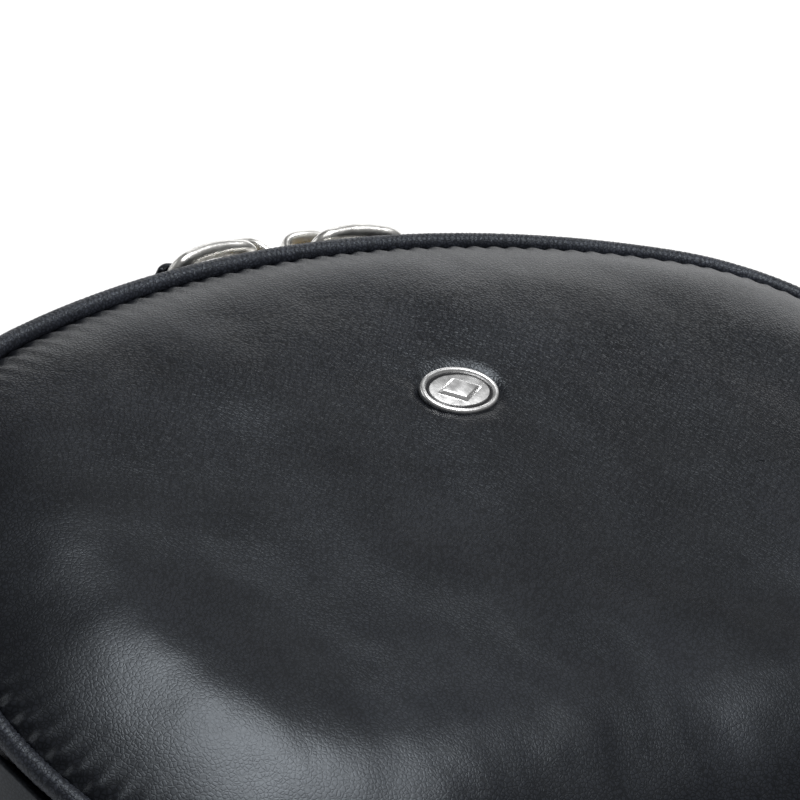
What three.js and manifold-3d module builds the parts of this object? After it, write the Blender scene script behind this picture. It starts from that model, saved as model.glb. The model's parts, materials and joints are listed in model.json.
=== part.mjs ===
import * as THREE from 'three';
import { mergeVertices } from 'three/addons/utils/BufferGeometryUtils.js';
import Module from 'manifold-3d';

const wasm = await Module();
wasm.setup();

// A zipped coin purse lying on its back, in millimetres.
// X runs across it, Y towards the zipped arch, Z out of the front panel.
const purse = { halfWidth: 63.7, height: 81, archRadius: 118, shoulderRadius: 36, footRadius: 36 };
const apexY = 37.575;
const backPlane = 5.6;
const frontPlane = 17.1;
const dome = { rim: 1.45, flat: 22.5, rise: 4.2, sharpness: 2.6 };
const panelSkin = { outer: 1.4, inner: 0.45 };
const stiffenerSkin = { outer: 0.15, inner: -1.0, rim: 7.2 };
const liningSkin = { outer: -1.3, inner: -1.7, rim: 7.0, foot: -1.6, thickness: 0.4 };
const piping = { radius: 1.05, wall: 0.35, cordRadius: 0.45, flangeEnd: 5.5, flangeHalf: 0.35 };
const tape = { outer: 0.2, inner: 0.7, seamEnd: 6.5, seamHigh: 0.55, seamLow: 1.05, middleGap: 0.75 };
const coil = { outer: -1.8, inner: -0.1, width: 1.75 };
// Where the zip ends on the foot arc, in degrees below the horizontal.
const zipEnd = { coil: 9, stopFrom: 9.6, stopTo: 12.6, tabFrom: 13.4, tape: 15.3, gusset: 16, tabTo: 25 };
const stopHalfWidth = 2.6;
const endTab = { outer: -0.95, inner: -0.1, halfWidth: 4.2 };
const chainRise = 0.9;
const sliderAt = { left: -7.5, right: 3.1 };
const slider = { length: 10.0, halfWidth: 3.9, tailHalf: 2.7, plate: 1.1, upper: 1.2, lower: -1.9 };
const flange = { inner: 2.95, bottom: -0.7 };
const post = { halfWidth: 0.5, length: 2.6 };
const crown = { pivotX: 1.5, halfSpan: 3.7, halfWidth: 1.5, wall: 1.1, under: 4.9, leg: 0.9 };
const pivotRise = 3.4;
const farDrop = 0.6;
const spring = { thickness: 0.3, halfWidth: 0.4, hookFrom: 1.7, hookTo: 2.3, gap: 0.2, hookEnd: 1.4 };
const springSlot = { halfWidth: 0.75, from: 1.35, to: 2.7 };
const pullRing = { length: 10, halfWidth: 2.9, wire: 0.75, bow: 0.9, corner: 0.9 };
const pullTab = { length: 20, loopRadius: 1.6, holeRadius: 1.05, halfThickness: 0.8, halfWidth: 1.85 };
const badge = { x: -1.2, drop: 25.8, halfLength: 4.4, halfHeight: 3.1, thickness: 0.8, lift: 0.15 };
const prong = { spread: 2.4, radius: 0.3, hole: 0.6, depth: 1.45 };
const backing = { halfLength: 3.6, halfHeight: 1.5, thickness: 0.5, gap: 0.3 };
const pocket = { halfWidth: 30, low: 56, high: 28, thickness: 0.5, gap: 0.3 };

const black = { color: 0x1d1f24, roughness: 0.55, metalness: 0 };
const lining = { color: 0x2a2a2e, roughness: 0.9, metalness: 0 };
const nickel = { color: 0xc9c9c6, roughness: 0.25, metalness: 1 };
const foam = { color: 0x55565a, roughness: 1, metalness: 0 };
const white = { color: 0xd8d5cc, roughness: 0.9, metalness: 0 };

const group = new THREE.Group();

function add(name, geometry, finish, parent = group) {
  const mesh = new THREE.Mesh(geometry, new THREE.MeshStandardMaterial(finish));
  mesh.name = name;
  parent.add(mesh);
  return mesh;
}

const rad = THREE.MathUtils.degToRad;

// Points on an arc, both ends included; no steps give one point.
function arc(x, y, radius, from, to, steps) {
  const points = [];
  for (let i = 0; i <= steps; i += 1) {
    const angle = from + ((to - from) * i) / Math.max(steps, 1);
    points.push([x + radius * Math.cos(angle), y + radius * Math.sin(angle)]);
  }
  return points;
}

const shoulderX = purse.halfWidth - purse.shoulderRadius;
const shoulderAngle = Math.acos(shoulderX / (purse.archRadius - purse.shoulderRadius));
const archCentreY = apexY - purse.archRadius;
const shoulderY = archCentreY + (purse.archRadius - purse.shoulderRadius) * Math.sin(shoulderAngle);
const footCentreX = purse.halfWidth - purse.footRadius;
const footCentreY = apexY - purse.height + purse.footRadius;

// The right half of the outline, from the middle of the base up to the apex, moved inwards by inset.
function rightHalf(inset) {
  const foot = purse.footRadius - inset;
  const zipFrom = (degrees, to, steps) => arc(footCentreX, footCentreY, foot, -rad(degrees), -rad(to), steps);
  return [
    [0, apexY - purse.height + inset],
    ...zipFrom(90, zipEnd.gusset, 6),
    ...zipFrom(zipEnd.tape, zipEnd.coil, 1),
    ...arc(footCentreX, footCentreY, foot, 0, 0, 0),
    ...arc(shoulderX, shoulderY, purse.shoulderRadius - inset, 0, shoulderAngle, 7),
    ...arc(0, archCentreY, purse.archRadius - inset, shoulderAngle, Math.PI / 2, 5).slice(1),
  ];
}

// The whole outline, anticlockwise from the middle of the base.
function outline(inset) {
  const right = rightHalf(inset);
  const left = right.slice(1, -1).reverse().map(([x, y]) => [-x, y]);
  return [...right, ...left];
}

const outlineCount = outline(0).length;
const baseToGusset = 7;
const baseToTape = 8;
const baseToCoil = 9;

// A closed mesh whose faces point outwards, from its corners and triangles.
function solid(points, triangles) {
  let volume = 0;
  for (const [a, b, c] of triangles) {
    const [p, q, r] = [points[a], points[b], points[c]].map((point) => new THREE.Vector3(...point));
    volume += p.dot(q.cross(r));
  }
  const faces = volume > 0 ? triangles : triangles.map(([a, b, c]) => [a, c, b]);
  const geometry = new THREE.BufferGeometry();
  geometry.setAttribute('position', new THREE.Float32BufferAttribute(points.flat(), 3));
  geometry.setIndex(faces.flat());
  geometry.computeVertexNormals();
  return geometry;
}

// Triangles between neighbouring rows of equal length.
function stitchRows(rowCount, length, rowsClosed, ringClosed) {
  const triangles = [];
  const lastRow = rowsClosed ? rowCount : rowCount - 1;
  const lastColumn = ringClosed ? length : length - 1;
  for (let row = 0; row < lastRow; row += 1) {
    for (let column = 0; column < lastColumn; column += 1) {
      const a = row * length + column;
      const b = row * length + ((column + 1) % length);
      const c = ((row + 1) % rowCount) * length + column;
      const d = ((row + 1) % rowCount) * length + ((column + 1) % length);
      triangles.push([a, b, d], [a, d, c]);
    }
  }
  return triangles;
}

// A section of [inset, z] corners carried all the way round the outline.
function loopAround(section) {
  const points = section.flatMap(([inset, z]) => outline(inset).map(([x, y]) => [x, y, z]));
  return solid(points, stitchRows(section.length, outlineCount, true, true));
}

// The same section carried along part of the outline, with closed ends.
function runAlong(section, first, last) {
  const length = last - first + 1;
  const points = section.flatMap(([inset, z]) => {
    const ring = outline(inset);
    return Array.from({ length }, (_, i) => [...ring[(first + i) % outlineCount], z]);
  });
  const triangles = stitchRows(section.length, length, true, false);
  const contour = section.map(([inset, z]) => new THREE.Vector2(inset, z));
  for (const [a, b, c] of THREE.ShapeUtils.triangulateShape(contour, [])) {
    triangles.push([a * length, b * length, c * length]);
    triangles.push([a * length + length - 1, c * length + length - 1, b * length + length - 1]);
  }
  return solid(points, orientEnds(triangles, contour));
}

// The end caps follow the winding of the section.
function orientEnds(triangles, contour) {
  const clockwise = THREE.ShapeUtils.isClockWise(contour);
  const caps = (contour.length - 2) * 2;
  return triangles.map((face, i) => {
    const isCap = i >= triangles.length - caps;
    return isCap && clockwise ? [face[0], face[2], face[1]] : face;
  });
}

// A dished sheet: an outer and an inner profile of [inset, z], each closed by a flat middle.
function dish(outer, inner) {
  const section = [...outer, ...[...inner].reverse()];
  const points = section.flatMap(([inset, z]) => outline(inset).map(([x, y]) => [x, y, z]));
  const rows = section.length;
  const triangles = stitchRows(outer.length, outlineCount, false, true);
  const shift = outer.length * outlineCount;
  for (const face of stitchRows(inner.length, outlineCount, false, true)) {
    triangles.push(face.map((corner) => corner + shift));
  }
  const top = (outer.length - 1) * outlineCount;
  const lastRow = (rows - 1) * outlineCount;
  const outerMiddle = points.push(middleOf(outer)) - 1;
  const innerMiddle = points.push(middleOf(inner)) - 1;
  for (let i = 0; i < outlineCount; i += 1) {
    const next = (i + 1) % outlineCount;
    triangles.push([top + i, top + next, outerMiddle]);
    triangles.push([shift + next, shift + i, innerMiddle]);
    triangles.push([lastRow + i, lastRow + next, next], [lastRow + i, next, i]);
  }
  return solid(points, triangles);
}

function middleOf(profile) {
  return [0, apexY - purse.height / 2, profile.at(-1)[1]];
}

// How far the dome stands above its rim at a given inset.
function rise(inset) {
  const t = Math.max(0, (inset - dome.rim) / (dome.flat - dome.rim));
  return dome.rise * (1 - (1 - t) ** dome.sharpness);
}

function domeProfile(insets, plane, side, offset) {
  return insets.map((inset) => [inset, plane + side * (rise(inset) + offset)]);
}

function panel(plane, side) {
  const insets = [dome.rim, 3.5, 6.5, 10.5, 16, dome.flat];
  const outer = domeProfile(insets, plane, side, panelSkin.outer);
  return dish(outer, domeProfile(insets, plane, side, panelSkin.inner));
}

function stiffener(plane, side) {
  const insets = [stiffenerSkin.rim, 11, 16, dome.flat];
  const outer = domeProfile(insets, plane, side, stiffenerSkin.outer);
  return dish(outer, domeProfile(insets, plane, side, stiffenerSkin.inner));
}

function liningDish(plane, side) {
  const insets = [9.5, 12.5, 17, dome.flat];
  const footZ = plane + side * liningSkin.foot;
  const outer = [[liningSkin.rim, footZ], ...domeProfile(insets, plane, side, liningSkin.outer)];
  const foot = [liningSkin.rim, footZ - side * liningSkin.thickness];
  return dish(outer, [foot, ...domeProfile(insets, plane, side, liningSkin.inner)]);
}

// The piping cover wraps its cord and runs inwards as two flange layers.
function pipingSection(plane) {
  const open = Math.asin(piping.flangeHalf / piping.radius);
  const innerRadius = piping.radius - piping.wall;
  const slit = 0.08;
  const innerOpen = Math.asin(slit / innerRadius);
  const outside = arc(0, plane, piping.radius, open, 2 * Math.PI - open, 8);
  const inside = arc(0, plane, innerRadius, innerOpen, 2 * Math.PI - innerOpen, 8).reverse();
  return [
    ...outside,
    [piping.flangeEnd, plane - piping.flangeHalf],
    [piping.flangeEnd, plane - slit],
    ...inside,
    [piping.flangeEnd, plane + slit],
    [piping.flangeEnd, plane + piping.flangeHalf],
  ];
}

function cordSection(plane) {
  return arc(0, plane, piping.cordRadius, 0, 2 * Math.PI, 6).slice(1);
}

const chainPlane = (frontPlane + backPlane) / 2;

// The tape stands between the piping and the chain, and its seam edge is turned inwards.
function tapeSection(plane, side) {
  const chainSide = chainPlane + side * tape.middleGap;
  return [
    [tape.outer, chainSide],
    [tape.outer, plane - side * 1.7],
    [1.5, plane - side * tape.seamHigh],
    [tape.seamEnd, plane - side * tape.seamHigh],
    [tape.seamEnd, plane - side * tape.seamLow],
    [1.75, plane - side * tape.seamLow],
    [tape.inner, plane - side * 1.75],
    [tape.inner, chainSide],
  ];
}

function coilSection(side) {
  const near = chainPlane + side * tape.middleGap;
  const far = near + side * coil.width;
  const bevel = side * 0.4;
  return [
    [coil.inner, near],
    [coil.outer + 0.4, near],
    [coil.outer, near + bevel],
    [coil.outer, far - bevel],
    [coil.outer + 0.4, far],
    [coil.inner, far],
  ];
}

// The gusset closes the base and the lower sides, from piping to piping.
function gussetSection() {
  const half = [
    [0.2, 1.7],
    [1.5, 0.55],
    [6.5, 0.55],
    [6.5, 1.25],
    [1.9, 1.25],
    [1.1, 1.9],
  ];
  const upper = half.map(([inset, drop]) => [inset, frontPlane - drop]);
  const lower = half.map(([inset, drop]) => [inset, backPlane + drop]).reverse();
  return [...upper, ...lower];
}

function gussetLiningSection() {
  const low = backPlane + 2.4;
  const high = frontPlane - 2.4;
  return [[1.5, low], [1.5, high], [1.9, high], [1.9, low]];
}

const gussetFirst = outlineCount - baseToGusset;
const gussetLast = outlineCount + baseToGusset;

function toManifold(geometry) {
  const bare = geometry.clone();
  bare.deleteAttribute('normal');
  bare.deleteAttribute('uv');
  const merged = mergeVertices(bare, 1e-4);
  const triVerts = Uint32Array.from(merged.index.array);
  const vertProperties = Float32Array.from(merged.attributes.position.array);
  return new wasm.Manifold(new wasm.Mesh({ numProp: 3, vertProperties, triVerts }));
}

function fromManifold(body) {
  const mesh = body.getMesh();
  const geometry = new THREE.BufferGeometry();
  geometry.setAttribute('position', new THREE.BufferAttribute(mesh.vertProperties, 3));
  geometry.setIndex(new THREE.BufferAttribute(mesh.triVerts, 1));
  geometry.computeVertexNormals();
  return geometry;
}

function join(...geometries) {
  return fromManifold(geometries.map(toManifold).reduce((whole, next) => whole.add(next)));
}

function cut(geometry, ...tools) {
  const solids = tools.map(toManifold);
  return fromManifold(solids.reduce((rest, tool) => rest.subtract(tool), toManifold(geometry)));
}

function box(x0, x1, y0, y1, z0, z1) {
  const geometry = new THREE.BoxGeometry(x1 - x0, y1 - y0, z1 - z0);
  return geometry.translate((x0 + x1) / 2, (y0 + y1) / 2, (z0 + z1) / 2);
}

// A flat outline in X and Z, given a thickness from y0 up to y1.
function plate(points, y0, y1) {
  const shape = new THREE.Shape(points.map(([x, z]) => new THREE.Vector2(x, -z)));
  const geometry = new THREE.ExtrudeGeometry(shape, { depth: y1 - y0, bevelEnabled: false });
  return geometry.rotateX(-Math.PI / 2).translate(0, y0, 0);
}

// A profile in X and Y, extruded both ways along Z.
function profile(shape, halfWidth) {
  const depth = 2 * halfWidth;
  const geometry = new THREE.ExtrudeGeometry(shape, { depth, bevelEnabled: false, curveSegments: 5 });
  return geometry.translate(0, 0, -halfWidth);
}

function polygon(points) {
  return new THREE.Shape(points.map(([x, y]) => new THREE.Vector2(x, y)));
}

// The slider's plates are broad at the nose, where the two chain halves part, and narrow at the tail.
function plateOutline() {
  const half = slider.length / 2;
  const wide = slider.halfWidth;
  const narrow = slider.tailHalf;
  return [
    [-half, -narrow],
    [-half * 0.35, -wide],
    [half * 0.7, -wide],
    [half, -wide * 0.55],
    [half, wide * 0.55],
    [half * 0.7, wide],
    [-half * 0.35, wide],
    [-half, narrow],
  ];
}

function sliderBody() {
  const top = plate(plateOutline(), slider.upper, slider.upper + slider.plate);
  const bottom = plate(plateOutline(), slider.lower - slider.plate, slider.lower);
  const half = slider.length / 2;
  const wedge = box(half - post.length, half - 0.3, slider.lower - 0.2, slider.upper + 0.2,
    -post.halfWidth, post.halfWidth);
  const rails = [-1, 1].map((side) => {
    const z0 = side > 0 ? flange.inner : -slider.halfWidth;
    const z1 = side > 0 ? slider.halfWidth : -flange.inner;
    return box(-half * 0.35, half * 0.7, flange.bottom, slider.upper + 0.2, z0, z1);
  });
  const slot = box(crown.pivotX + springSlot.from, crown.pivotX + springSlot.to,
    slider.upper - 0.5, slider.upper + slider.plate + 0.5, -springSlot.halfWidth, springSlot.halfWidth);
  return cut(join(top, bottom, wedge, ...rails), slot);
}

const plateTop = slider.upper + slider.plate;
const crownFoot = plateTop + 0.02;

// A bridge over the ring's bar, with a leg at each end.
function crownBody() {
  const { halfSpan, wall, under, leg } = crown;
  const shape = polygon([
    [-halfSpan, crownFoot],
    [-halfSpan + leg, crownFoot],
    [-halfSpan + leg, under - 0.5],
    [-halfSpan + leg + 0.6, under],
    [halfSpan - leg - 0.3, under],
    [halfSpan - leg, under - 0.3],
    [halfSpan - leg, crownFoot],
    [halfSpan, crownFoot],
    [halfSpan, under],
    [halfSpan - 1.2, under + wall],
    [-halfSpan + 1.6, under + wall],
    [-halfSpan, under + 0.2],
  ]);
  return profile(shape, crown.halfWidth).translate(crown.pivotX, 0, 0);
}

// The locking spring runs under the crown, and its hook reaches the chain through the plate.
function lockSpring() {
  const top = crown.under - spring.gap;
  const bottom = top - spring.thickness;
  const shape = polygon([
    [-2, bottom],
    [spring.hookFrom, bottom],
    [spring.hookFrom, spring.hookEnd],
    [spring.hookTo, spring.hookEnd],
    [spring.hookTo, top],
    [-2, top],
  ]);
  return profile(shape, spring.halfWidth).translate(crown.pivotX, 0, 0);
}

// The ring's centre line: a straight bar in the crown, bowed rails and a straight bar for the strap.
function ringPath() {
  const { length, halfWidth, corner } = pullRing;
  const flat = [
    [0, -halfWidth + corner],
    [0, 0],
    [0, halfWidth - corner],
    ...arc(-corner, halfWidth - corner, corner, 0.4, Math.PI / 2, 2),
    [-length * 0.35, halfWidth],
    [-length * 0.55, halfWidth],
    ...arc(-length + corner, halfWidth - corner, corner, Math.PI / 2, Math.PI - 0.4, 2),
    [-length, halfWidth - corner],
    [-length, 0],
    [-length, -halfWidth + corner],
    ...arc(-length + corner, -halfWidth + corner, corner, Math.PI + 0.4, (3 * Math.PI) / 2, 2),
    [-length * 0.55, -halfWidth],
    [-length * 0.35, -halfWidth],
    ...arc(-corner, -halfWidth + corner, corner, -Math.PI / 2, -0.4, 2),
  ];
  return flat.map(([x, z]) => new THREE.Vector3(x, ringBow(x), z));
}

function ringBow(x) {
  const along = -x / pullRing.length;
  return pullRing.bow * Math.sin(Math.PI * along) - farDrop * along;
}

// A round wire along a closed path.
function closedWire(path, radius, sides) {
  const count = path.length;
  const points = [];
  path.forEach((centre, i) => {
    const ahead = path[(i + 1) % count].clone().sub(path[(i + count - 1) % count]).normalize();
    const across = new THREE.Vector3(0, 1, 0).cross(ahead).normalize();
    const up = ahead.clone().cross(across);
    for (let k = 0; k < sides; k += 1) {
      const angle = (2 * Math.PI * (k + 0.5)) / sides;
      const point = centre.clone().addScaledVector(across, radius * Math.cos(angle));
      points.push(point.addScaledVector(up, radius * Math.sin(angle)).toArray());
    }
  });
  return solid(points, stitchRows(count, sides, true, true));
}

function ringBody() {
  return closedWire(ringPath(), pullRing.wire, 8).translate(crown.pivotX, pivotRise, 0);
}

// A leather strap folded round the ring's far end, side view, with its origin at that end.
function tabBody() {
  const { length, loopRadius, holeRadius, halfThickness } = pullTab;
  const meetAngle = Math.PI - 0.55;
  const shape = polygon([
    ...arc(0, 0, loopRadius, -meetAngle, meetAngle, 10),
    [-4, halfThickness],
    [-length + 0.6, halfThickness],
    [-length, 0.4],
    [-length, -0.4],
    [-length + 0.6, -halfThickness],
    [-4, -halfThickness],
  ]);
  shape.holes.push(polygon(arc(0, 0, holeRadius, 0, 2 * Math.PI, 10).slice(1)));
  const lastX = crown.pivotX - pullRing.length;
  return profile(shape, pullTab.halfWidth).translate(lastX, pivotRise - farDrop, 0);
}

// One slider with its pull, turned to its place on the arch; the right one faces the left one.
function addSlider(side, place, turned) {
  const frame = new THREE.Group();
  frame.position.set(0, archCentreY, chainPlane);
  frame.rotation.z = Math.asin(-place / (purse.archRadius + chainRise));
  const seat = new THREE.Group();
  seat.position.y = purse.archRadius + chainRise;
  seat.rotation.y = turned ? Math.PI : 0;
  frame.add(seat);
  group.add(frame);
  add(`slider_body_${side}`, sliderBody(), nickel, seat);
  add(`slider_crown_${side}`, crownBody(), nickel, seat);
  add(`lock_spring_${side}`, lockSpring(), nickel, seat);
  add(`pull_ring_${side}`, ringBody(), nickel, seat);
  add(`pull_tab_${side}`, tabBody(), black, seat);
}

// A block that lies on the foot arc between two angles, on the left or the right side.
function onFoot(name, turned, span, insets, halfWidth, finish) {
  const middle = rad((span[0] + span[1]) / 2);
  const reach = (purse.footRadius * rad(span[1] - span[0])) / 2;
  const centre = new THREE.Group();
  centre.position.set(turned ? -footCentreX : footCentreX, footCentreY, chainPlane);
  centre.rotation.z = turned ? Math.PI + middle : -middle;
  group.add(centre);
  const [near, far] = insets.map((inset) => purse.footRadius - inset).reverse();
  const block = box(near, far, -reach, reach, -halfWidth, halfWidth);
  add(name, block, finish, centre);
}

// What closes the lower end of the chain on each side.
function addZipEnd(side, turned) {
  const stopSpan = [zipEnd.stopFrom, zipEnd.stopTo];
  onFoot(`zip_stop_${side}`, turned, stopSpan, [coil.outer, coil.inner], stopHalfWidth, nickel);
  const tabSpan = [zipEnd.tabFrom, zipEnd.tabTo];
  onFoot(`zip_end_tab_${side}`, turned, tabSpan, [endTab.outer, endTab.inner], endTab.halfWidth, black);
}

const crownZ = frontPlane + dome.rise + panelSkin.outer;
const badgeY = apexY - badge.drop;

function pin(x, radius, low, high) {
  const geometry = new THREE.CylinderGeometry(radius, radius, high - low, 10);
  return geometry.rotateX(Math.PI / 2).translate(badge.x + x, badgeY, (low + high) / 2);
}

function prongs(radius, low, high) {
  return [pin(-prong.spread, radius, low, high), pin(prong.spread, radius, low, high)];
}

function badgeBody() {
  const shape = new THREE.Shape();
  shape.absellipse(0, 0, badge.halfLength, badge.halfHeight, 0, 2 * Math.PI);
  const settings = { depth: badge.thickness, bevelEnabled: false, curveSegments: 28 };
  const plaque = new THREE.ExtrudeGeometry(shape, settings).translate(badge.x, badgeY, crownZ + badge.lift);
  const root = crownZ + badge.lift + badge.thickness / 2;
  return join(plaque, ...prongs(prong.radius, crownZ - prong.depth, root));
}

function backingBody() {
  const top = frontPlane + dome.rise + stiffenerSkin.outer - backing.gap;
  const flat = box(badge.x - backing.halfLength, badge.x + backing.halfLength, badgeY - backing.halfHeight,
    badgeY + backing.halfHeight, top - backing.thickness, top);
  return cut(flat, ...prongs(prong.hole, top - 2, top + 2));
}

function frontStiffener() {
  const top = frontPlane + dome.rise + stiffenerSkin.outer;
  const room = backing.gap;
  const seat = box(badge.x - backing.halfLength - room, badge.x + backing.halfLength + room,
    badgeY - backing.halfHeight - room,
    badgeY + backing.halfHeight + room, top - backing.gap - backing.thickness - 0.15, top + 1);
  return cut(stiffener(frontPlane, 1), seat);
}

function pocketBody() {
  const low = backPlane - dome.rise - liningSkin.inner + pocket.gap;
  return box(-pocket.halfWidth, pocket.halfWidth, apexY - pocket.low, apexY - pocket.high,
    low, low + pocket.thickness);
}

add('back_panel', panel(backPlane, -1), black);
add('back_stiffener', stiffener(backPlane, -1), foam);
add('back_lining', liningDish(backPlane, -1), lining);
add('back_piping', loopAround(pipingSection(backPlane)), black);
add('back_piping_cord', loopAround(cordSection(backPlane)), white);
add('back_zip_tape', runAlong(tapeSection(backPlane, -1), baseToTape, outlineCount - baseToTape), black);
add('back_zip_coil', runAlong(coilSection(-1), baseToCoil, outlineCount - baseToCoil), black);
add('bottom_gusset', runAlong(gussetSection(), gussetFirst, gussetLast), black);
add('gusset_lining', runAlong(gussetLiningSection(), gussetFirst, gussetLast), lining);
add('inner_pocket', pocketBody(), lining);
add('front_panel', cut(panel(frontPlane, 1), ...prongs(prong.hole, crownZ - 3, crownZ + 1)), black);
add('front_stiffener', frontStiffener(), foam);
add('front_lining', liningDish(frontPlane, 1), lining);
add('front_piping', loopAround(pipingSection(frontPlane)), black);
add('front_piping_cord', loopAround(cordSection(frontPlane)), white);
add('front_zip_tape', runAlong(tapeSection(frontPlane, 1), baseToTape, outlineCount - baseToTape), black);
add('front_zip_coil', runAlong(coilSection(1), baseToCoil, outlineCount - baseToCoil), black);
add('badge', badgeBody(), nickel);
add('badge_backing', backingBody(), nickel);
addSlider('left', sliderAt.left, false);
addSlider('right', sliderAt.right, true);
addZipEnd('left', true);
addZipEnd('right', false);

export default group;
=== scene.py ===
import json
import math
import bpy
import bmesh
import numpy as np
from mathutils import Vector, Matrix, noise


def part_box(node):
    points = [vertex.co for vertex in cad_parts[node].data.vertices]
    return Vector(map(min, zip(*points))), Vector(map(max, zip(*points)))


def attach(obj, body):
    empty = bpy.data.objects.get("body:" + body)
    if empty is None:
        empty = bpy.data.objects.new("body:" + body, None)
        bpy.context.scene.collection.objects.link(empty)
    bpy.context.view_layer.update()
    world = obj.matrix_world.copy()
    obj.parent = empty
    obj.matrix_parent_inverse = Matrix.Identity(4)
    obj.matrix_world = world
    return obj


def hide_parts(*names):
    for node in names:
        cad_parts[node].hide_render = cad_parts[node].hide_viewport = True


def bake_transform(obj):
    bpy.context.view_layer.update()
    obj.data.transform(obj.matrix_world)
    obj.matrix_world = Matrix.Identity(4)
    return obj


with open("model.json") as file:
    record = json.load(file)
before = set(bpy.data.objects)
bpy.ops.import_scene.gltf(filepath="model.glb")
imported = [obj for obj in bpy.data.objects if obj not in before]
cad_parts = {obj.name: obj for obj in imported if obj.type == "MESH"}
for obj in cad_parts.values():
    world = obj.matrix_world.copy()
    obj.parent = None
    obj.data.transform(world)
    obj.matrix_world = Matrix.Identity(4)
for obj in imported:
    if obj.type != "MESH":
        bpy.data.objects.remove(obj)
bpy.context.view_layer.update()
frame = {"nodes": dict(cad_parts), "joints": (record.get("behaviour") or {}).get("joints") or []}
mm = 0.001
print("frame loaded")


shellSizes = {
    "archRadius": 118 * mm,
    "shoulderRadius": 36 * mm,
    "footRadius": 36 * mm,
    "pipingRadius": 1.05 * mm,
    "rim": 1.1 * mm,
    "flat": 21 * mm,
    "sharpness": 2.7,
    "stitchPitch": 2.35 * mm,
    "mouthCut": 13 * mm,
}


def outlineMeasures():
    lowFront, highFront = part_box("front_piping")
    lowBack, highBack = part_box("back_piping")
    radius = shellSizes["pipingRadius"]
    found = {
        "halfWidth": highFront.x - radius,
        "apexY": highFront.y - radius,
        "baseY": lowFront.y + radius,
        "frontPlane": (lowFront.z + highFront.z) / 2,
        "backPlane": (lowBack.z + highBack.z) / 2,
    }
    arch, shoulder, foot = (shellSizes[k] for k in ("archRadius", "shoulderRadius", "footRadius"))
    found["chainPlane"] = (found["frontPlane"] + found["backPlane"]) / 2
    found["shoulderX"] = found["halfWidth"] - shoulder
    found["footX"] = found["halfWidth"] - foot
    found["footY"] = found["baseY"] + foot
    found["shoulderAngle"] = math.acos(found["shoulderX"] / (arch - shoulder))
    found["archY"] = found["apexY"] - arch
    found["shoulderY"] = found["archY"] + (arch - shoulder) * math.sin(found["shoulderAngle"])
    return found


shape = outlineMeasures()


def outlineLengths():
    footEnd = shape["footX"] + shellSizes["footRadius"] * math.pi / 2
    sideEnd = footEnd + shape["shoulderY"] - shape["footY"]
    shoulderEnd = sideEnd + shellSizes["shoulderRadius"] * shape["shoulderAngle"]
    apex = shoulderEnd + shellSizes["archRadius"] * (math.pi / 2 - shape["shoulderAngle"])
    return footEnd, sideEnd, shoulderEnd, apex


footEnd, sideEnd, shoulderEnd, apexLength = outlineLengths()


# positions and outward angles along the outline; s runs anticlockwise from the middle of the base
def outlineAt(s):
    s = np.asarray(s, float) % (2 * apexLength)
    mirrored = s > apexLength
    t = np.where(mirrored, 2 * apexLength - s, s)
    arch, shoulder, foot = (shellSizes[k] for k in ("archRadius", "shoulderRadius", "footRadius"))
    onBase, onFoot = t < shape["footX"], t < footEnd
    onSide, onShoulder = t < sideEnd, t < shoulderEnd
    choices = [onBase, onFoot, onSide, onShoulder]
    footAngle = -math.pi / 2 + (t - shape["footX"]) / foot
    shoulderAngle = (t - sideEnd) / shoulder
    archAngle = shape["shoulderAngle"] + (t - shoulderEnd) / arch
    angle = np.select(choices, [-math.pi / 2, footAngle, 0, shoulderAngle], archAngle)
    x = np.select(choices, [t, shape["footX"] + foot * np.cos(angle), shape["halfWidth"],
                            shape["shoulderX"] + shoulder * np.cos(angle)], arch * np.cos(angle))
    y = np.select(choices, [shape["baseY"], shape["footY"] + foot * np.sin(angle),
                            shape["footY"] + t - footEnd,
                            shape["shoulderY"] + shoulder * np.sin(angle)],
                  shape["archY"] + arch * np.sin(angle))
    return np.where(mirrored, -x, x), y, np.where(mirrored, math.pi - angle, angle)


def insetPoints(s, inset):
    x, y, angle = outlineAt(s)
    return x - inset * np.cos(angle), y - inset * np.sin(angle)


def linked(name, data):
    obj = bpy.data.objects.new(name, data)
    bpy.context.collection.objects.link(obj)
    return obj


def newObject(name, vertices, faces, material, smooth=True):
    mesh = bpy.data.meshes.new(name)
    mesh.from_pydata([tuple(v) for v in vertices], [], faces)
    mesh.validate()
    obj = linked(name, mesh)
    obj.data.materials.append(material)
    tidyNormals(obj)
    if smooth:
        mesh.shade_smooth()
    return obj


def tidyNormals(obj):
    work = bmesh.new()
    work.from_mesh(obj.data)
    bmesh.ops.recalc_face_normals(work, faces=work.faces)
    work.to_mesh(obj.data)
    work.free()


# turns live modifiers, or a curve, into a plain mesh object
def settle(obj):
    bpy.context.view_layer.update()
    ready = obj.evaluated_get(bpy.context.evaluated_depsgraph_get())
    mesh = bpy.data.meshes.new_from_object(ready)
    name = obj.name
    materials = [m for m in obj.data.materials if m]
    bpy.data.objects.remove(obj)
    mesh.name = name
    settled = linked(name, mesh)
    if not mesh.materials and materials:
        mesh.materials.append(materials[0])
    return settled


def bevelled(obj, width, segments=3, angle=30):
    bevel = obj.modifiers.new("Bevel", "BEVEL")
    bevel.width = width
    bevel.segments = segments
    bevel.limit_method = "ANGLE"
    bevel.angle_limit = math.radians(angle)
    bevel.harden_normals = False
    return settle(obj)


def subdivided(obj, levels=1):
    subdivision = obj.modifiers.new("Subdivision", "SUBSURF")
    subdivision.levels = levels
    subdivision.render_levels = levels
    return settle(obj)


def gridFaces(rows, columns, rowsClosed, columnsClosed):
    faces = []
    for row in range(rows if rowsClosed else rows - 1):
        for column in range(columns if columnsClosed else columns - 1):
            a = row * columns + column
            b = row * columns + (column + 1) % columns
            c = ((row + 1) % rows) * columns + (column + 1) % columns
            d = ((row + 1) % rows) * columns + column
            faces.append((a, b, c, d))
    return faces


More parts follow.
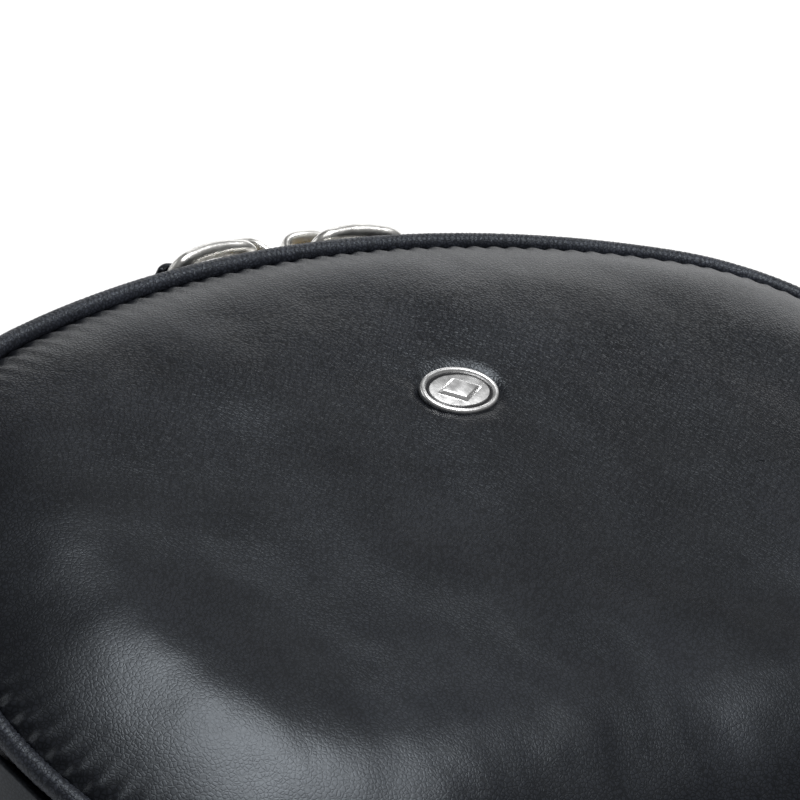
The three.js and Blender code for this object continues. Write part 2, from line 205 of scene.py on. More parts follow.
# the skin of a solid rod made of rings, closed at both ends
def rodFaces(rows, columns):
    faces = gridFaces(rows, columns, False, True)
    faces.append(tuple(reversed(range(columns))))
    faces.append(tuple(range((rows - 1) * columns, rows * columns)))
    return faces


# a closed section of (inset, z) corners carried along the outline from one length to another
def sweepSection(name, section, start, end, step, material, shift=None):
    whole = abs(end - start) >= 2 * apexLength - 1e-6
    count = max(8, int(abs(end - start) / step))
    s = np.linspace(start, end, count, endpoint=not whole)
    vertices = []
    for inset, z in section:
        x, y = insetPoints(s, inset)
        height = np.full(count, z) if shift is None else z + shift(s, inset, z)
        vertices.extend(zip(x, y, height))
    faces = gridFaces(len(section), count, True, whole)
    if not whole:
        faces.append([row * count for row in range(len(section))])
        faces.append([row * count + count - 1 for row in reversed(range(len(section)))])
    return newObject(name, vertices, faces, material)


def joinMeshes(name, parts):
    work = bmesh.new()
    for part in parts:
        work.from_mesh(part.data)
    mesh = bpy.data.meshes.new(name)
    work.to_mesh(mesh)
    work.free()
    for slotMaterial in parts[0].data.materials:
        mesh.materials.append(slotMaterial)
    for part in parts:
        bpy.data.objects.remove(part)
    joined = linked(name, mesh)
    mesh.shade_smooth()
    return joined


def placeMesh(obj, matrix):
    obj.data.transform(matrix)
    return obj


def geometryTree(name, inputs):
    tree = bpy.data.node_groups.new(name, "GeometryNodeTree")
    tree.interface.new_socket("Geometry", in_out="INPUT", socket_type="NodeSocketGeometry")
    for label, kind, default in inputs:
        item = tree.interface.new_socket(label, in_out="INPUT", socket_type="NodeSocket" + kind)
        if default is not None:
            item.default_value = default
    tree.interface.new_socket("Geometry", in_out="OUTPUT", socket_type="NodeSocketGeometry")
    source = tree.nodes.new("NodeGroupInput")
    target = tree.nodes.new("NodeGroupOutput")
    return tree, source, target


# a node with its settings made first, then its inputs linked to sockets or set to plain values
def addNode(tree, kind, inputs=None, **settings):
    node = tree.nodes.new(kind)
    for label, value in settings.items():
        setattr(node, label, value)
    for label, value in (inputs or {}).items():
        if isinstance(value, bpy.types.NodeSocket):
            tree.links.new(value, node.inputs[label])
        else:
            node.inputs[label].default_value = value
    return node


def mathNode(tree, operation, *values):
    return addNode(tree, "ShaderNodeMath", dict(enumerate(values)), operation=operation).outputs[0]


# the end of a tree: real geometry in one finish
def finishTree(tree, source, target, geometry):
    realize = addNode(tree, "GeometryNodeRealizeInstances", {0: geometry})
    finish = {"Geometry": realize.outputs[0], "Material": source.outputs["Finish"]}
    paint = addNode(tree, "GeometryNodeSetMaterial", finish)
    tree.links.new(paint.outputs[0], target.inputs["Geometry"])
    return tree


def runTree(obj, tree, values):
    modifier = obj.modifiers.new(tree.name, "NODES")
    modifier.node_group = tree
    for item in tree.interface.items_tree:
        if item.item_type == "SOCKET" and item.in_out == "INPUT" and item.name in values:
            modifier[item.identifier] = values[item.name]
    return settle(obj)


def pathCurve(name, points, cyclic=False):
    curve = bpy.data.curves.new(name, "CURVE")
    curve.dimensions = "3D"
    spline = curve.splines.new("POLY")
    spline.points.add(len(points) - 1)
    flat = [value for p in points for value in (p[0], p[1], p[2], 1.0)]
    spline.points.foreach_set("co", flat)
    spline.use_cyclic_u = cyclic
    return linked(name, curve)


# copies of one small shape, evenly spaced on a path and turned to follow it
def rowTree():
    inputs = [("Shape", "Object", None), ("Pitch", "Float", 1.25 * mm), ("Finish", "Material", None)]
    tree, source, target = geometryTree("evenRow", inputs)
    spacing = {"Curve": source.outputs["Geometry"], "Length": source.outputs["Pitch"]}
    resample = addNode(tree, "GeometryNodeResampleCurve", spacing, mode="LENGTH")
    tangent = addNode(tree, "GeometryNodeInputTangent")
    align = addNode(tree, "FunctionNodeAlignRotationToVector", {"Vector": tangent.outputs[0]},
                    axis="X", pivot_axis="Z")
    info = addNode(tree, "GeometryNodeObjectInfo", {"Object": source.outputs["Shape"]})
    instance = addNode(tree, "GeometryNodeInstanceOnPoints",
                       {"Points": resample.outputs["Curve"], "Instance": info.outputs["Geometry"],
                        "Rotation": align.outputs[0]})
    return finishTree(tree, source, target, instance.outputs[0])


# a round cover drawn along a path, with slanted creases pressed into it
def pipingTree():
    inputs = [("Radius", "Float", 1.0 * mm), ("Crease Depth", "Float", 0.05 * mm),
              ("Crease Pitch", "Float", 0.9 * mm), ("Slant", "Float", 0.7),
              ("Sides", "Int", 16), ("Finish", "Material", None)]
    tree, source, target = geometryTree("creasedPiping", inputs)
    parameter = addNode(tree, "GeometryNodeSplineParameter")

    def remembered(geometry, label, value):
        capture = tree.nodes.new("GeometryNodeCaptureAttribute")
        capture.capture_items.new("FLOAT", label)
        tree.links.new(geometry, capture.inputs["Geometry"])
        tree.links.new(value, capture.inputs[label])
        return capture.outputs["Geometry"], capture.outputs[label]

    path, along = remembered(source.outputs["Geometry"], "Along", parameter.outputs["Length"])
    circle = addNode(tree, "GeometryNodeCurvePrimitiveCircle",
                     {"Radius": source.outputs["Radius"], "Resolution": source.outputs["Sides"]})
    profile, around = remembered(circle.outputs["Curve"], "Around", parameter.outputs["Factor"])
    tube = addNode(tree, "GeometryNodeCurveToMesh", {"Curve": path, "Profile Curve": profile})
    turns = mathNode(tree, "DIVIDE", along, source.outputs["Crease Pitch"])
    unevenness = addNode(tree, "ShaderNodeTexNoise", {"Scale": pipingSizes["wobbleScale"]})
    wobble = mathNode(tree, "MULTIPLY", unevenness.outputs[0], pipingSizes["wobble"])
    lean = mathNode(tree, "SINE", mathNode(tree, "MULTIPLY", around, 2 * math.pi))
    slant = mathNode(tree, "MULTIPLY", lean, source.outputs["Slant"])
    phase = mathNode(tree, "ADD", mathNode(tree, "ADD", turns, wobble), slant)
    wave = mathNode(tree, "ABSOLUTE", mathNode(tree, "SINE", mathNode(tree, "MULTIPLY", phase, math.pi)))
    groove = mathNode(tree, "SUBTRACT", 1.0, mathNode(tree, "POWER", wave, pipingSizes["grooveShape"]))
    patches = addNode(tree, "ShaderNodeTexNoise", {"Scale": pipingSizes["patchScale"]})
    patch = mathNode(tree, "MULTIPLY", patches.outputs[0], pipingSizes["patch"])
    pressed = mathNode(tree, "MULTIPLY", groove, patch)
    depth = mathNode(tree, "MULTIPLY", pressed, source.outputs["Crease Depth"])
    normal = addNode(tree, "GeometryNodeInputNormal")
    inward = addNode(tree, "ShaderNodeVectorMath", operation="SCALE")
    tree.links.new(normal.outputs[0], inward.inputs[0])
    tree.links.new(mathNode(tree, "MULTIPLY", depth, -1.0), inward.inputs["Scale"])
    move = addNode(tree, "GeometryNodeSetPosition",
                   {"Geometry": tube.outputs["Mesh"], "Offset": inward.outputs[0]})
    soften = addNode(tree, "GeometryNodeSetShadeSmooth", {"Geometry": move.outputs[0]})
    return finishTree(tree, source, target, soften.outputs[0])


pipingSizes = {
    "step": 0.15 * mm,
    "creaseDepth": 0.16 * mm,
    "creasePitch": 0.62 * mm,
    "slant": 1.5,
    "sides": 18,
    "wobble": 2.2,
    "wobbleScale": 420,
    "patch": 1.6,
    "patchScale": 260,
    "grooveShape": 0.45,
    "cordRadius": 0.45 * mm,
    "cordStep": 1.2 * mm,
    "cordTwistDepth": 0.08 * mm,
    "cordTwistPitch": 1.6 * mm,
}

evenRow = rowTree()
creasedPiping = pipingTree()


def shaderGroup(name, inputs, outputs):
    group = bpy.data.node_groups.new(name, "ShaderNodeTree")
    for label, kind, default in inputs:
        item = group.interface.new_socket(label, in_out="INPUT", socket_type="NodeSocket" + kind)
        if default is not None:
            item.default_value = default
    for label, kind in outputs:
        group.interface.new_socket(label, in_out="OUTPUT", socket_type="NodeSocket" + kind)
    return group, group.nodes.new("NodeGroupInput"), group.nodes.new("NodeGroupOutput")


def noiseAt(tree, place, scale, detail=3.0):
    inputs = {"Scale": scale, "Detail": detail, "Vector": place}
    return addNode(tree, "ShaderNodeTexNoise", inputs).outputs[0]


grainSizes = {"bend": 0.3 * mm, "bendScale": 1500, "crackEdge": 4.5, "creaseEdge": 9.0,
              "fine": 0.2, "fineScale": 5200}


# pebbles, the cracks between them and longer creases, as one height, and the cracks alone as a mask for
# painted shade
def leatherGrainGroup():
    inputs = [("Vector", "Vector", None), ("Pebble Size", "Float", 0.45 * mm),
              ("Crease Size", "Float", 2.2 * mm), ("Crease Strength", "Float", 0.5)]
    group, source, target = shaderGroup("leatherGrain", inputs, [("Height", "Float"), ("Cracks", "Float")])
    place = source.outputs["Vector"]
    bend = addNode(group, "ShaderNodeTexNoise",
                   {"Scale": grainSizes["bendScale"], "Detail": 1, "Vector": place})
    bent = addNode(group, "ShaderNodeVectorMath", operation="MULTIPLY_ADD")
    bent.inputs[1].default_value = (grainSizes["bend"],) * 3
    group.links.new(bend.outputs["Color"], bent.inputs[0])
    group.links.new(place, bent.inputs[2])

    def cellEdges(size, sharpness):
        scale = mathNode(group, "DIVIDE", 1.0, size)
        cells = addNode(group, "ShaderNodeTexVoronoi", {"Vector": bent.outputs[0], "Scale": scale},
                        feature="DISTANCE_TO_EDGE")
        edge = mathNode(group, "MULTIPLY", cells.outputs["Distance"], sharpness)
        return mathNode(group, "MINIMUM", edge, 1.0)

    pebbleTop = cellEdges(source.outputs["Pebble Size"], grainSizes["crackEdge"])
    creaseLine = cellEdges(source.outputs["Crease Size"], grainSizes["creaseEdge"])
    creaseGap = mathNode(group, "SUBTRACT", 1.0, creaseLine)
    creased = mathNode(group, "MULTIPLY", creaseGap, source.outputs["Crease Strength"])
    rough = mathNode(group, "MULTIPLY", noiseAt(group, place, grainSizes["fineScale"]), grainSizes["fine"])
    height = mathNode(group, "ADD", mathNode(group, "SUBTRACT", pebbleTop, creased), rough)
    group.links.new(height, target.inputs["Height"])
    group.links.new(mathNode(group, "SUBTRACT", 1.0, pebbleTop), target.inputs["Cracks"])
    return group


# over and under threads of a plain weave
def weaveGroup():
    inputs = [("Vector", "Vector", None), ("Thread", "Float", 0.35 * mm)]
    group, source, target = shaderGroup("plainWeave", inputs, [("Height", "Float")])
    nodes, links = group.nodes, group.links
    split = nodes.new("ShaderNodeSeparateXYZ")
    links.new(source.outputs["Vector"], split.inputs[0])
    scale = mathNode(group, "DIVIDE", math.pi, source.outputs["Thread"])

    def ridge(socket, half):
        turned = mathNode(group, "ADD", mathNode(group, "MULTIPLY", socket, scale), half)
        return mathNode(group, "ABSOLUTE", mathNode(group, "SINE", turned))

    lengthwise = mathNode(group, "ADD", split.outputs["Y"], split.outputs["Z"])
    warp = ridge(split.outputs["X"], 0.0)
    weft = ridge(lengthwise, math.pi / 2)
    product = mathNode(group, "MULTIPLY", warp, weft)
    links.new(mathNode(group, "POWER", product, 0.6), target.inputs["Height"])
    return group


leatherGrain = leatherGrainGroup()
plainWeave = weaveGroup()


def newMaterial(name, color, roughness, metallic=0.0, specular=0.5):
    material = bpy.data.materials.new(name)
    material.use_nodes = True
    nodes = material.node_tree.nodes
    shader = nodes["Principled BSDF"]
    shader.inputs["Base Color"].default_value = (*color, 1)
    shader.inputs["Roughness"].default_value = roughness
    shader.inputs["Metallic"].default_value = metallic
    shader.inputs["Specular IOR Level"].default_value = specular
    coordinates = nodes.new("ShaderNodeTexCoord")
    return material, material.node_tree, shader, coordinates.outputs["Object"]


def ramp(tree, value, low, high, colorLow, colorHigh):
    node = tree.nodes.new("ShaderNodeValToRGB")
    node.color_ramp.elements[0].position = low
    node.color_ramp.elements[1].position = high
    node.color_ramp.elements[0].color = (*colorLow, 1)
    node.color_ramp.elements[1].color = (*colorHigh, 1)
    tree.links.new(value, node.inputs[0])
    return node.outputs[0]


def span(tree, value, low, high):
    return addNode(tree, "ShaderNodeMapRange", {"To Min": low, "To Max": high, "Value": value}).outputs[0]


def bumpInto(tree, shader, height, distance, strength=1.0):
    bump = addNode(tree, "ShaderNodeBump", {"Strength": strength, "Distance": distance, "Height": height})
    tree.links.new(bump.outputs["Normal"], shader.inputs["Normal"])


def patternGroup(tree, pattern, place, inputs):
    node = addNode(tree, "ShaderNodeGroup", node_tree=pattern)
    tree.links.new(place, node.inputs["Vector"])
    for label, value in inputs.items():
        node.inputs[label].default_value = value
    return node


leatherSizes = {
    "dark": (0.0028, 0.0031, 0.0043),
    "light": (0.0128, 0.0143, 0.0190),
    "roughness": (0.29, 0.42),
    "relief": 0.013 * mm,
    "specular": 0.3,
    "tint": (0.84, 0.92, 1.0, 1),
    "fadeFrom": -20 * mm,
    "fadeTo": 30 * mm,
    "fadeLean": 0.35,
    "fadeLeast": 0.4,
}


# 1 towards the zip and the right side, less where handling has smoothed the grain
def fadeAcross(tree, place):
    split = addNode(tree, "ShaderNodeSeparateXYZ", {0: place})
    slope = mathNode(tree, "MULTIPLY_ADD", split.outputs["X"], leatherSizes["fadeLean"], split.outputs["Y"])
    limits = {"From Min": leatherSizes["fadeFrom"], "From Max": leatherSizes["fadeTo"],
              "To Min": leatherSizes["fadeLeast"], "To Max": 1.0, "Value": slope}
    return addNode(tree, "ShaderNodeMapRange", limits).outputs[0]


def leatherMaterial(name, pebble, crease, creaseStrength, relief=1.0, gloss=0.0, lift=1.0, worn=False):
    material, tree, shader, place = newMaterial(name, leatherSizes["dark"], 0.45,
                                                 specular=leatherSizes["specular"])
    # both colours are scaled by the last argument; above 1 this paints light as a lighter copy of the leather
    dark, light = (tuple(c * lift for c in leatherSizes[k]) for k in ("dark", "light"))
    shader.inputs["Specular Tint"].default_value = leatherSizes["tint"]
    group = patternGroup(tree, leatherGrain, place, {"Pebble Size": pebble, "Crease Size": crease})
    patches = noiseAt(tree, place, 45, 2)
    tree.links.new(span(tree, patches, 0.0, creaseStrength * 2), group.inputs["Crease Strength"])
    # painted shade: the cracks between the pebbles are darkened in the base colour, over a random tone
    tone = mathNode(tree, "SUBTRACT", noiseAt(tree, place, 70, 4),
                    mathNode(tree, "MULTIPLY", group.outputs["Cracks"], 0.6))
    tree.links.new(ramp(tree, tone, 0.05, 0.7, dark, light), shader.inputs["Base Color"])
    low, high = leatherSizes["roughness"]
    sheen = span(tree, noiseAt(tree, place, 130, 5), low - gloss, high - gloss)
    tree.links.new(sheen, shader.inputs["Roughness"])
    strength = fadeAcross(tree, place) if worn else 1.0
    bumpInto(tree, shader, group.outputs["Height"], leatherSizes["relief"] * relief, strength)
    return material


def fabricMaterial(name, color, thread, relief):
    material, tree, shader, place = newMaterial(name, color, 0.85, specular=0.25)
    group = patternGroup(tree, plainWeave, place, {"Thread": thread})
    # painted light and shade: the raised threads are coloured lighter and the hollows between them darker
    lighter = tuple(min(1.0, c * 1.9 + 0.004) for c in color)
    tone = ramp(tree, group.outputs["Height"], 0.1, 0.9, color, lighter)
    tree.links.new(tone, shader.inputs["Base Color"])
    shader.inputs["Sheen Weight"].default_value = 0.25
    bumpInto(tree, shader, group.outputs["Height"], relief)
    return material


def metalMaterial(name, color, roughness, scratch=0.02 * mm, worn=0.82):
    material, tree, shader, place = newMaterial(name, color, roughness, metallic=1.0)
    dull = noiseAt(tree, place, 900, 5)
    tree.links.new(span(tree, dull, roughness * 0.6, roughness * 1.7), shader.inputs["Roughness"])
    darker = tuple(c * worn for c in color)
    tone = ramp(tree, noiseAt(tree, place, 500, 4), 0.3, 0.65, darker, color)
    tree.links.new(tone, shader.inputs["Base Color"])
    bumpInto(tree, shader, noiseAt(tree, place, 2600, 4), scratch, 0.5)
    return material


def nylonMaterial():
    material, tree, shader, place = newMaterial("coilNylon", (0.016, 0.017, 0.02), 0.38)
    tree.links.new(span(tree, noiseAt(tree, place, 2400, 3), 0.28, 0.5), shader.inputs["Roughness"])
    bumpInto(tree, shader, noiseAt(tree, place, 3800, 3), 0.02 * mm, 0.6)
    return material


def felt(name, color):
    material, tree, shader, place = newMaterial(name, color, 0.95, specular=0.2)
    fuzz = noiseAt(tree, place, 1800, 6)
    lighter = tuple(min(1.0, c * 1.3) for c in color)
    tree.links.new(ramp(tree, fuzz, 0.3, 0.7, color, lighter), shader.inputs["Base Color"])
    bumpInto(tree, shader, fuzz, 0.1 * mm)
    return material


panelLeather = leatherMaterial("panelLeather", 0.42 * mm, 2.6 * mm, 0.3, 1.4, worn=True)
# painted light: the piping is the panel's leather made 2.6 times lighter, for the top light it catches
pipingLeather = leatherMaterial("pipingLeather", 0.38 * mm, 1.3 * mm, 0.3, 1.3, -0.1, 2.6)
strapLeather = leatherMaterial("strapLeather", 0.4 * mm, 2.0 * mm, 0.15, 0.6, 0.05)
liningFabric = fabricMaterial("liningFabric", (0.022, 0.022, 0.026), 0.4 * mm, 0.06 * mm)
tapeFabric = fabricMaterial("tapeFabric", (0.010, 0.0105, 0.013), 0.3 * mm, 0.07 * mm)
threadFinish = fabricMaterial("blackThread", (0.012, 0.012, 0.015), 0.1 * mm, 0.02 * mm)
coilNylon = nylonMaterial()
nickelPlate = metalMaterial("nickelPlate", (0.88, 0.87, 0.84), 0.3, 0.07 * mm, 0.6)
badgeMetal = metalMaterial("badgeMetal", (0.88, 0.88, 0.88), 0.3, 0.03 * mm)
springBrass = metalMaterial("springBrass", (0.72, 0.52, 0.22), 0.3)
darkEnamel = newMaterial("darkEnamel", (0.012, 0.012, 0.014), 0.3)[0]
foamFelt = felt("foamFelt", (0.17, 0.17, 0.18))
cottonCord = felt("cottonCord", (0.55, 0.52, 0.47))
print("materials made")


viewSizes = {"azimuth": -45.84, "elevation": 39.33, "roll": 25.22, "distance": 400.58 * mm,
             "aimX": -4.1 * mm, "aimBelowApex": 22.34 * mm, "lens": 182.58, "sensor": 36,
             "rise": 0.0105}

roomSizes = {"half": 1.5, "floor": -0.2 * mm, "world": 0.16}

lightSizes = [
    {"name": "overheadLight", "place": (0.14, 0.14, 0.88), "aim": (0, 0.04, 0),
     "size": (0.36, 0.36), "power": 8.3},
    {"name": "backdropLight", "place": (0.95, 1.05, 0.2), "aim": (0, 0, 0.02),
     "size": (1.3, 0.4), "power": 3.5},
    {"name": "leftLight", "place": (-0.75, 0.75, 0.3), "aim": (0, 0, 0.02),
     "size": (0.6, 0.35), "power": 1.2},
]


def addCamera():
    azimuth, elevation, roll = (math.radians(viewSizes[k]) for k in ("azimuth", "elevation", "roll"))
    back = Vector((math.sin(azimuth) * math.cos(elevation), -math.cos(azimuth) * math.cos(elevation),
                   math.sin(elevation)))
    right = (-back).cross(Vector((0, 0, 1))).normalized()
    up = right.cross(-back)
    turnedRight = right * math.cos(roll) + up * math.sin(roll)
    turnedUp = up * math.cos(roll) - right * math.sin(roll)
    camera = linked("camera", bpy.data.cameras.new("camera"))
    camera.data.lens = viewSizes["lens"]
    camera.data.sensor_width = viewSizes["sensor"]
    camera.data.shift_y = viewSizes["rise"]
    camera.data.clip_start = 0.01
    aim = Vector((viewSizes["aimX"], shape["apexY"] - viewSizes["aimBelowApex"], shape["frontPlane"]))
    turn = Matrix((turnedRight, turnedUp, back)).transposed().to_4x4()
    camera.matrix_world = Matrix.Translation(aim + back * viewSizes["distance"]) @ turn
    bpy.context.scene.camera = camera


def addSoftbox(name, place, aim, size, power):
    light = linked(name, bpy.data.lights.new(name, "AREA"))
    light.data.shape = "RECTANGLE"
    light.data.size, light.data.size_y = size
    light.data.energy = power
    light.location = place
    light.rotation_euler = (Vector(aim) - Vector(place)).to_track_quat("-Z", "Y").to_euler()


def addRoom():
    half, level = roomSizes["half"], roomSizes["floor"]
    corners = [(-half, -half, level), (half, -half, level), (half, half, level), (-half, half, level)]
    paper = newMaterial("paleFloor", (0.93, 0.93, 0.93), 0.7, specular=0.2)[0]
    newObject("floor", corners, [(0, 1, 2, 3)], paper, smooth=False)
    world = bpy.context.scene.world or bpy.data.worlds.new("world")
    bpy.context.scene.world = world
    world.use_nodes = True
    background = world.node_tree.nodes["Background"]
    background.inputs["Color"].default_value = (1, 1, 1, 1)
    background.inputs["Strength"].default_value = roomSizes["world"]
    bpy.context.scene.view_settings.view_transform = "Standard"
    for light in lightSizes:
        addSoftbox(**light)


addCamera()
addRoom()
print("camera and light placed")


panelSizes = {
    "crown": 5.6 * mm,
    "foot": 0.55 * mm,
    "thickness": 1.15 * mm,
    "columns": 640,
    "quick": 3.2 * mm,
    "quickShare": 0.34,
    "flankFlat": 17 * mm,
    "flankSharpness": 1.85,
    "flankBelow": 8 * mm,
    "flankBlend": 5 * mm,
    "seamDip": 0.4 * mm,
    "seamWidth": 0.6 * mm,
    "pucker": 0.5 * mm,
    "puckerRun": 0.9 * mm,
    "puckerStart": 0.5 * mm,
    "calmRim": 9 * mm,
    "lumps": 0.6 * mm,
    "lumpSize": 19 * mm,
    "smallLumpSize": 8 * mm,
    "folds": 0.035 * mm,
    "foldSize": 3.0 * mm,
    "lowest": 0.05 * mm,
}


def riseAt(inset):
    t = np.clip((inset - shellSizes["rim"]) / (shellSizes["flat"] - shellSizes["rim"]), 0, 1)
    return 1 - (1 - t) ** shellSizes["sharpness"]


# columns over the top from the right end to the left end, then back along the base
def dishColumns(columns):
    right = (footEnd + sideEnd) / 2
    over = np.linspace(right, 2 * apexLength - right, columns, endpoint=False)
    under = np.linspace(2 * apexLength - right, 2 * apexLength + right, columns, endpoint=False)
    return np.concatenate([over, under])


spineSizes = {"startInset": 30 * mm, "halfLength": 27 * mm}


# one surface of a dish: rows follow the outline inwards and close on a spine across the middle
def dishSurface(columns, insets, spineSteps, heightAt):
    s = dishColumns(columns)
    lastX, lastY = insetPoints(s, spineSizes["startInset"])
    t = np.linspace(0, 1, columns, endpoint=False)
    half = spineSizes["halfLength"]
    spineX = np.concatenate([half * (1 - 2 * t), -half * (1 - 2 * t)])
    spineY = (shape["apexY"] + shape["baseY"]) / 2
    rows = []
    for inset in insets:
        x, y = insetPoints(s, inset)
        rows.append((x, y, heightAt(x, y, np.full(len(s), inset), s)))
    deep = np.full(len(s), spineSizes["startInset"] + 2 * mm)
    for step in range(1, spineSteps):
        part = step / spineSteps
        x = lastX + (spineX - lastX) * part
        y = lastY + (spineY - lastY) * part
        rows.append((x, y, heightAt(x, y, deep, s)))
    endX = np.linspace(half, -half, columns + 1)
    endY = np.full(columns + 1, spineY)
    endZ = heightAt(endX, endY, np.full(columns + 1, deep[0]), np.linspace(s[0], s[columns], columns + 1))
    vertices = [v for x, y, z in rows for v in zip(x, y, z)] + list(zip(endX, endY, endZ))
    width = 2 * columns
    faces = gridFaces(len(rows), width, False, True)
    lastRow, spineStart = (len(rows) - 1) * width, len(rows) * width
    for i in range(width):
        near = spineStart + (i if i < columns else width - i)
        following = spineStart + (i + 1 if i < columns else width - i - 1)
        ring = (lastRow + i, lastRow + (i + 1) % width, following, near)
        faces.append(tuple(dict.fromkeys(ring)))
    return vertices, faces, width


def dishLayer(name, columns, outer, inner, material):
    outerVertices, outerFaces, width = dishSurface(columns, *outer)
    innerVertices, innerFaces, _ = dishSurface(columns, *inner)
    shift = len(outerVertices)
    faces = outerFaces + [tuple(i + shift for i in reversed(face)) for face in innerFaces]
    for i in range(width):
        following = (i + 1) % width
        faces.append((following, i, i + shift, following + shift))
    return newObject(name, outerVertices + innerVertices, faces, material)


def lumpsAt(x, y, size, seed):
    return np.array([noise.noise((a / size, b / size, seed)) for a, b in zip(x, y)])


badgeLow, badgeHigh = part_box("badge")
badgeMiddle = (badgeLow + badgeHigh) / 2
badgeSizes = {"halfLength": 4.4 * mm, "halfHeight": 3.1 * mm, "recess": 0.45 * mm, "fold": 0.045 * mm,
              "field": 0.62, "fieldWidth": 0.36, "sides": 96}


# the badge is pressed into the leather, which swells a little round it and pulls into short folds
def badgePress(x, y):
    across = (x - badgeMiddle.x) / badgeSizes["halfLength"]
    along = (y - badgeMiddle.y) / badgeSizes["halfHeight"]
    away = np.hypot(across, along)
    angle = np.arctan2(along, across)
    press = -badgeSizes["recess"] * (1 / (1 + np.exp((away - 1.13) / 0.045)))
    folds = np.sin(angle * 9 + 2.2 * np.sin(angle * 3)) * np.exp(-((away - 1.7) / 0.55) ** 2)
    return press + badgeSizes["fold"] * folds


def panelHeight(plane, side, seed, pressed):
    sizes = panelSizes

    def heightAt(x, y, inset, s):
        depth = inset - shellSizes["rim"]
        quick = sizes["quickShare"] * (1 - np.exp(-depth / sizes["quick"]))
        topProfile = (1 - sizes["quickShare"]) * riseAt(inset) + quick
        flank = np.clip(depth / (sizes["flankFlat"] - shellSizes["rim"]), 0, 1)
        flankProfile = 1 - (1 - flank) ** sizes["flankSharpness"]
        upper = 1 / (1 + np.exp(-(y - sizes["flankBelow"]) / sizes["flankBlend"]))
        profile = upper * topProfile + (1 - upper) * flankProfile
        rise = sizes["foot"] + (sizes["crown"] - sizes["foot"]) * profile
        wave = np.cos(2 * math.pi * s / shellSizes["stitchPitch"])
        dip = sizes["seamDip"] * np.exp(-(depth / sizes["seamWidth"]) ** 2)
        gather = np.exp(-depth / sizes["puckerRun"]) * np.clip(depth / sizes["puckerStart"], 0.3, 1)
        pucker = sizes["pucker"] * (wave - 0.4) * gather
        inside = np.clip(depth / sizes["calmRim"], 0, 1)
        large = lumpsAt(x, y, sizes["lumpSize"], seed)
        small = lumpsAt(x, y, sizes["smallLumpSize"], seed + 5)
        lumps = sizes["lumps"] * inside * (large + 0.3 * small)
        folds = sizes["folds"] * inside * lumpsAt(x, y, sizes["foldSize"], seed + 9)
        press = badgePress(x, y) if pressed else 0
        return np.maximum(plane + side * (rise - dip + pucker + lumps + folds + press), sizes["lowest"])

    return heightAt


def plainHeight(plane, side, offset):
    def heightAt(x, y, inset, s):
        return plane + side * (panelSizes["crown"] * riseAt(inset) - offset) + 0 * x
    return heightAt


def panelInsets():
    rim = shellSizes["rim"]
    near = np.arange(rim, 4 * mm, 0.28 * mm)
    far = np.arange(4 * mm, spineSizes["startInset"] + 0.1 * mm, 0.8 * mm)
    return np.concatenate([near, far])


def leatherPanel(name, plane, side, seed, pressed):
    inner = [shellSizes["rim"], 2.5 * mm, 6 * mm, 11 * mm, 18 * mm, spineSizes["startInset"]]
    outerSurface = (panelInsets(), 9, panelHeight(plane, side, seed, pressed))
    innerSurface = (inner, 2, plainHeight(plane, side, panelSizes["thickness"] - 0.2 * mm))
    return dishLayer(name, panelSizes["columns"], outerSurface, innerSurface, panelLeather)


layerSizes = {"stiffenerRim": 7.2 * mm, "stiffener": (1.45 * mm, 2.5 * mm), "liningRim": 1.9 * mm,
              "lining": (2.8 * mm, 3.1 * mm), "liningFoot": -1.6 * mm, "columns": 130,
              "ease": 1.06}


def stiffenerLayer(name, plane, side):
    insets = np.array([layerSizes["stiffenerRim"], 9 * mm, 12 * mm, 16 * mm, 21 * mm, 30 * mm])
    surfaces = [(insets, 2, plainHeight(plane, side, depth)) for depth in layerSizes["stiffener"]]
    return dishLayer(name, layerSizes["columns"], surfaces[0], surfaces[1], foamFelt)


def liningHeight(plane, side, depth, seed):
    def heightAt(x, y, inset, s):
        dome = panelSizes["crown"] * riseAt(inset) - depth
        foot = layerSizes["liningFoot"] - (depth - layerSizes["lining"][0])
        up = 1 / (1 + np.exp(-(inset - 8 * mm) / (0.5 * mm)))
        ripple = 0.12 * mm * lumpsAt(x, y, 6 * mm, seed) * up
        return plane + side * (foot * (1 - up) + dome * up - abs(ripple))
    return heightAt


def liningLayer(name, plane, side, seed):
    insets = np.concatenate([[layerSizes["liningRim"]], np.arange(3, 30.5, 1.0) * mm])
    surfaces = [(insets, 6, liningHeight(plane, side, depth, seed)) for depth in layerSizes["lining"]]
    return dishLayer(name, layerSizes["columns"], surfaces[0], surfaces[1], liningFabric)


mouthSizes = {"leftEnd": -4.4 * mm, "leftFull": 12 * mm, "rightFull": 14 * mm, "rightEnd": 34 * mm,
              "badgeEnd": -5.8 * mm, "badgeFull": 16.5 * mm}


def keepSide(source, name, keepLeft):
    work = bmesh.new()
    work.from_mesh(source.data)
    normals = work.verts.layers.float_vector.new("wholeNormal")
    work.normal_update()
    for vertex in work.verts:
        vertex[normals] = vertex.normal
    geometry = work.verts[:] + work.edges[:] + work.faces[:]
    place = (shellSizes["mouthCut"], 0, 0)
    cut = bmesh.ops.bisect_plane(work, geom=geometry, plane_co=place, plane_no=(1, 0, 0),
                                 clear_outer=keepLeft, clear_inner=not keepLeft, dist=1e-7)
    edges = [item for item in cut["geom_cut"] if isinstance(item, bmesh.types.BMEdge)]
    bmesh.ops.holes_fill(work, edges=[e for e in edges if e.is_boundary], sides=0)
    kept = [tuple(vertex[normals]) for vertex in work.verts]
    mesh = bpy.data.meshes.new(name)
    work.to_mesh(mesh)
    work.free()
    mesh.shade_smooth()
    mesh.normals_split_custom_set_from_vertices([Vector(n).normalized() for n in kept])
    if "wholeNormal" in mesh.attributes:
        mesh.attributes.remove(mesh.attributes["wholeNormal"])
    for material in source.data.materials:
        mesh.materials.append(material)
    return linked(name, mesh)


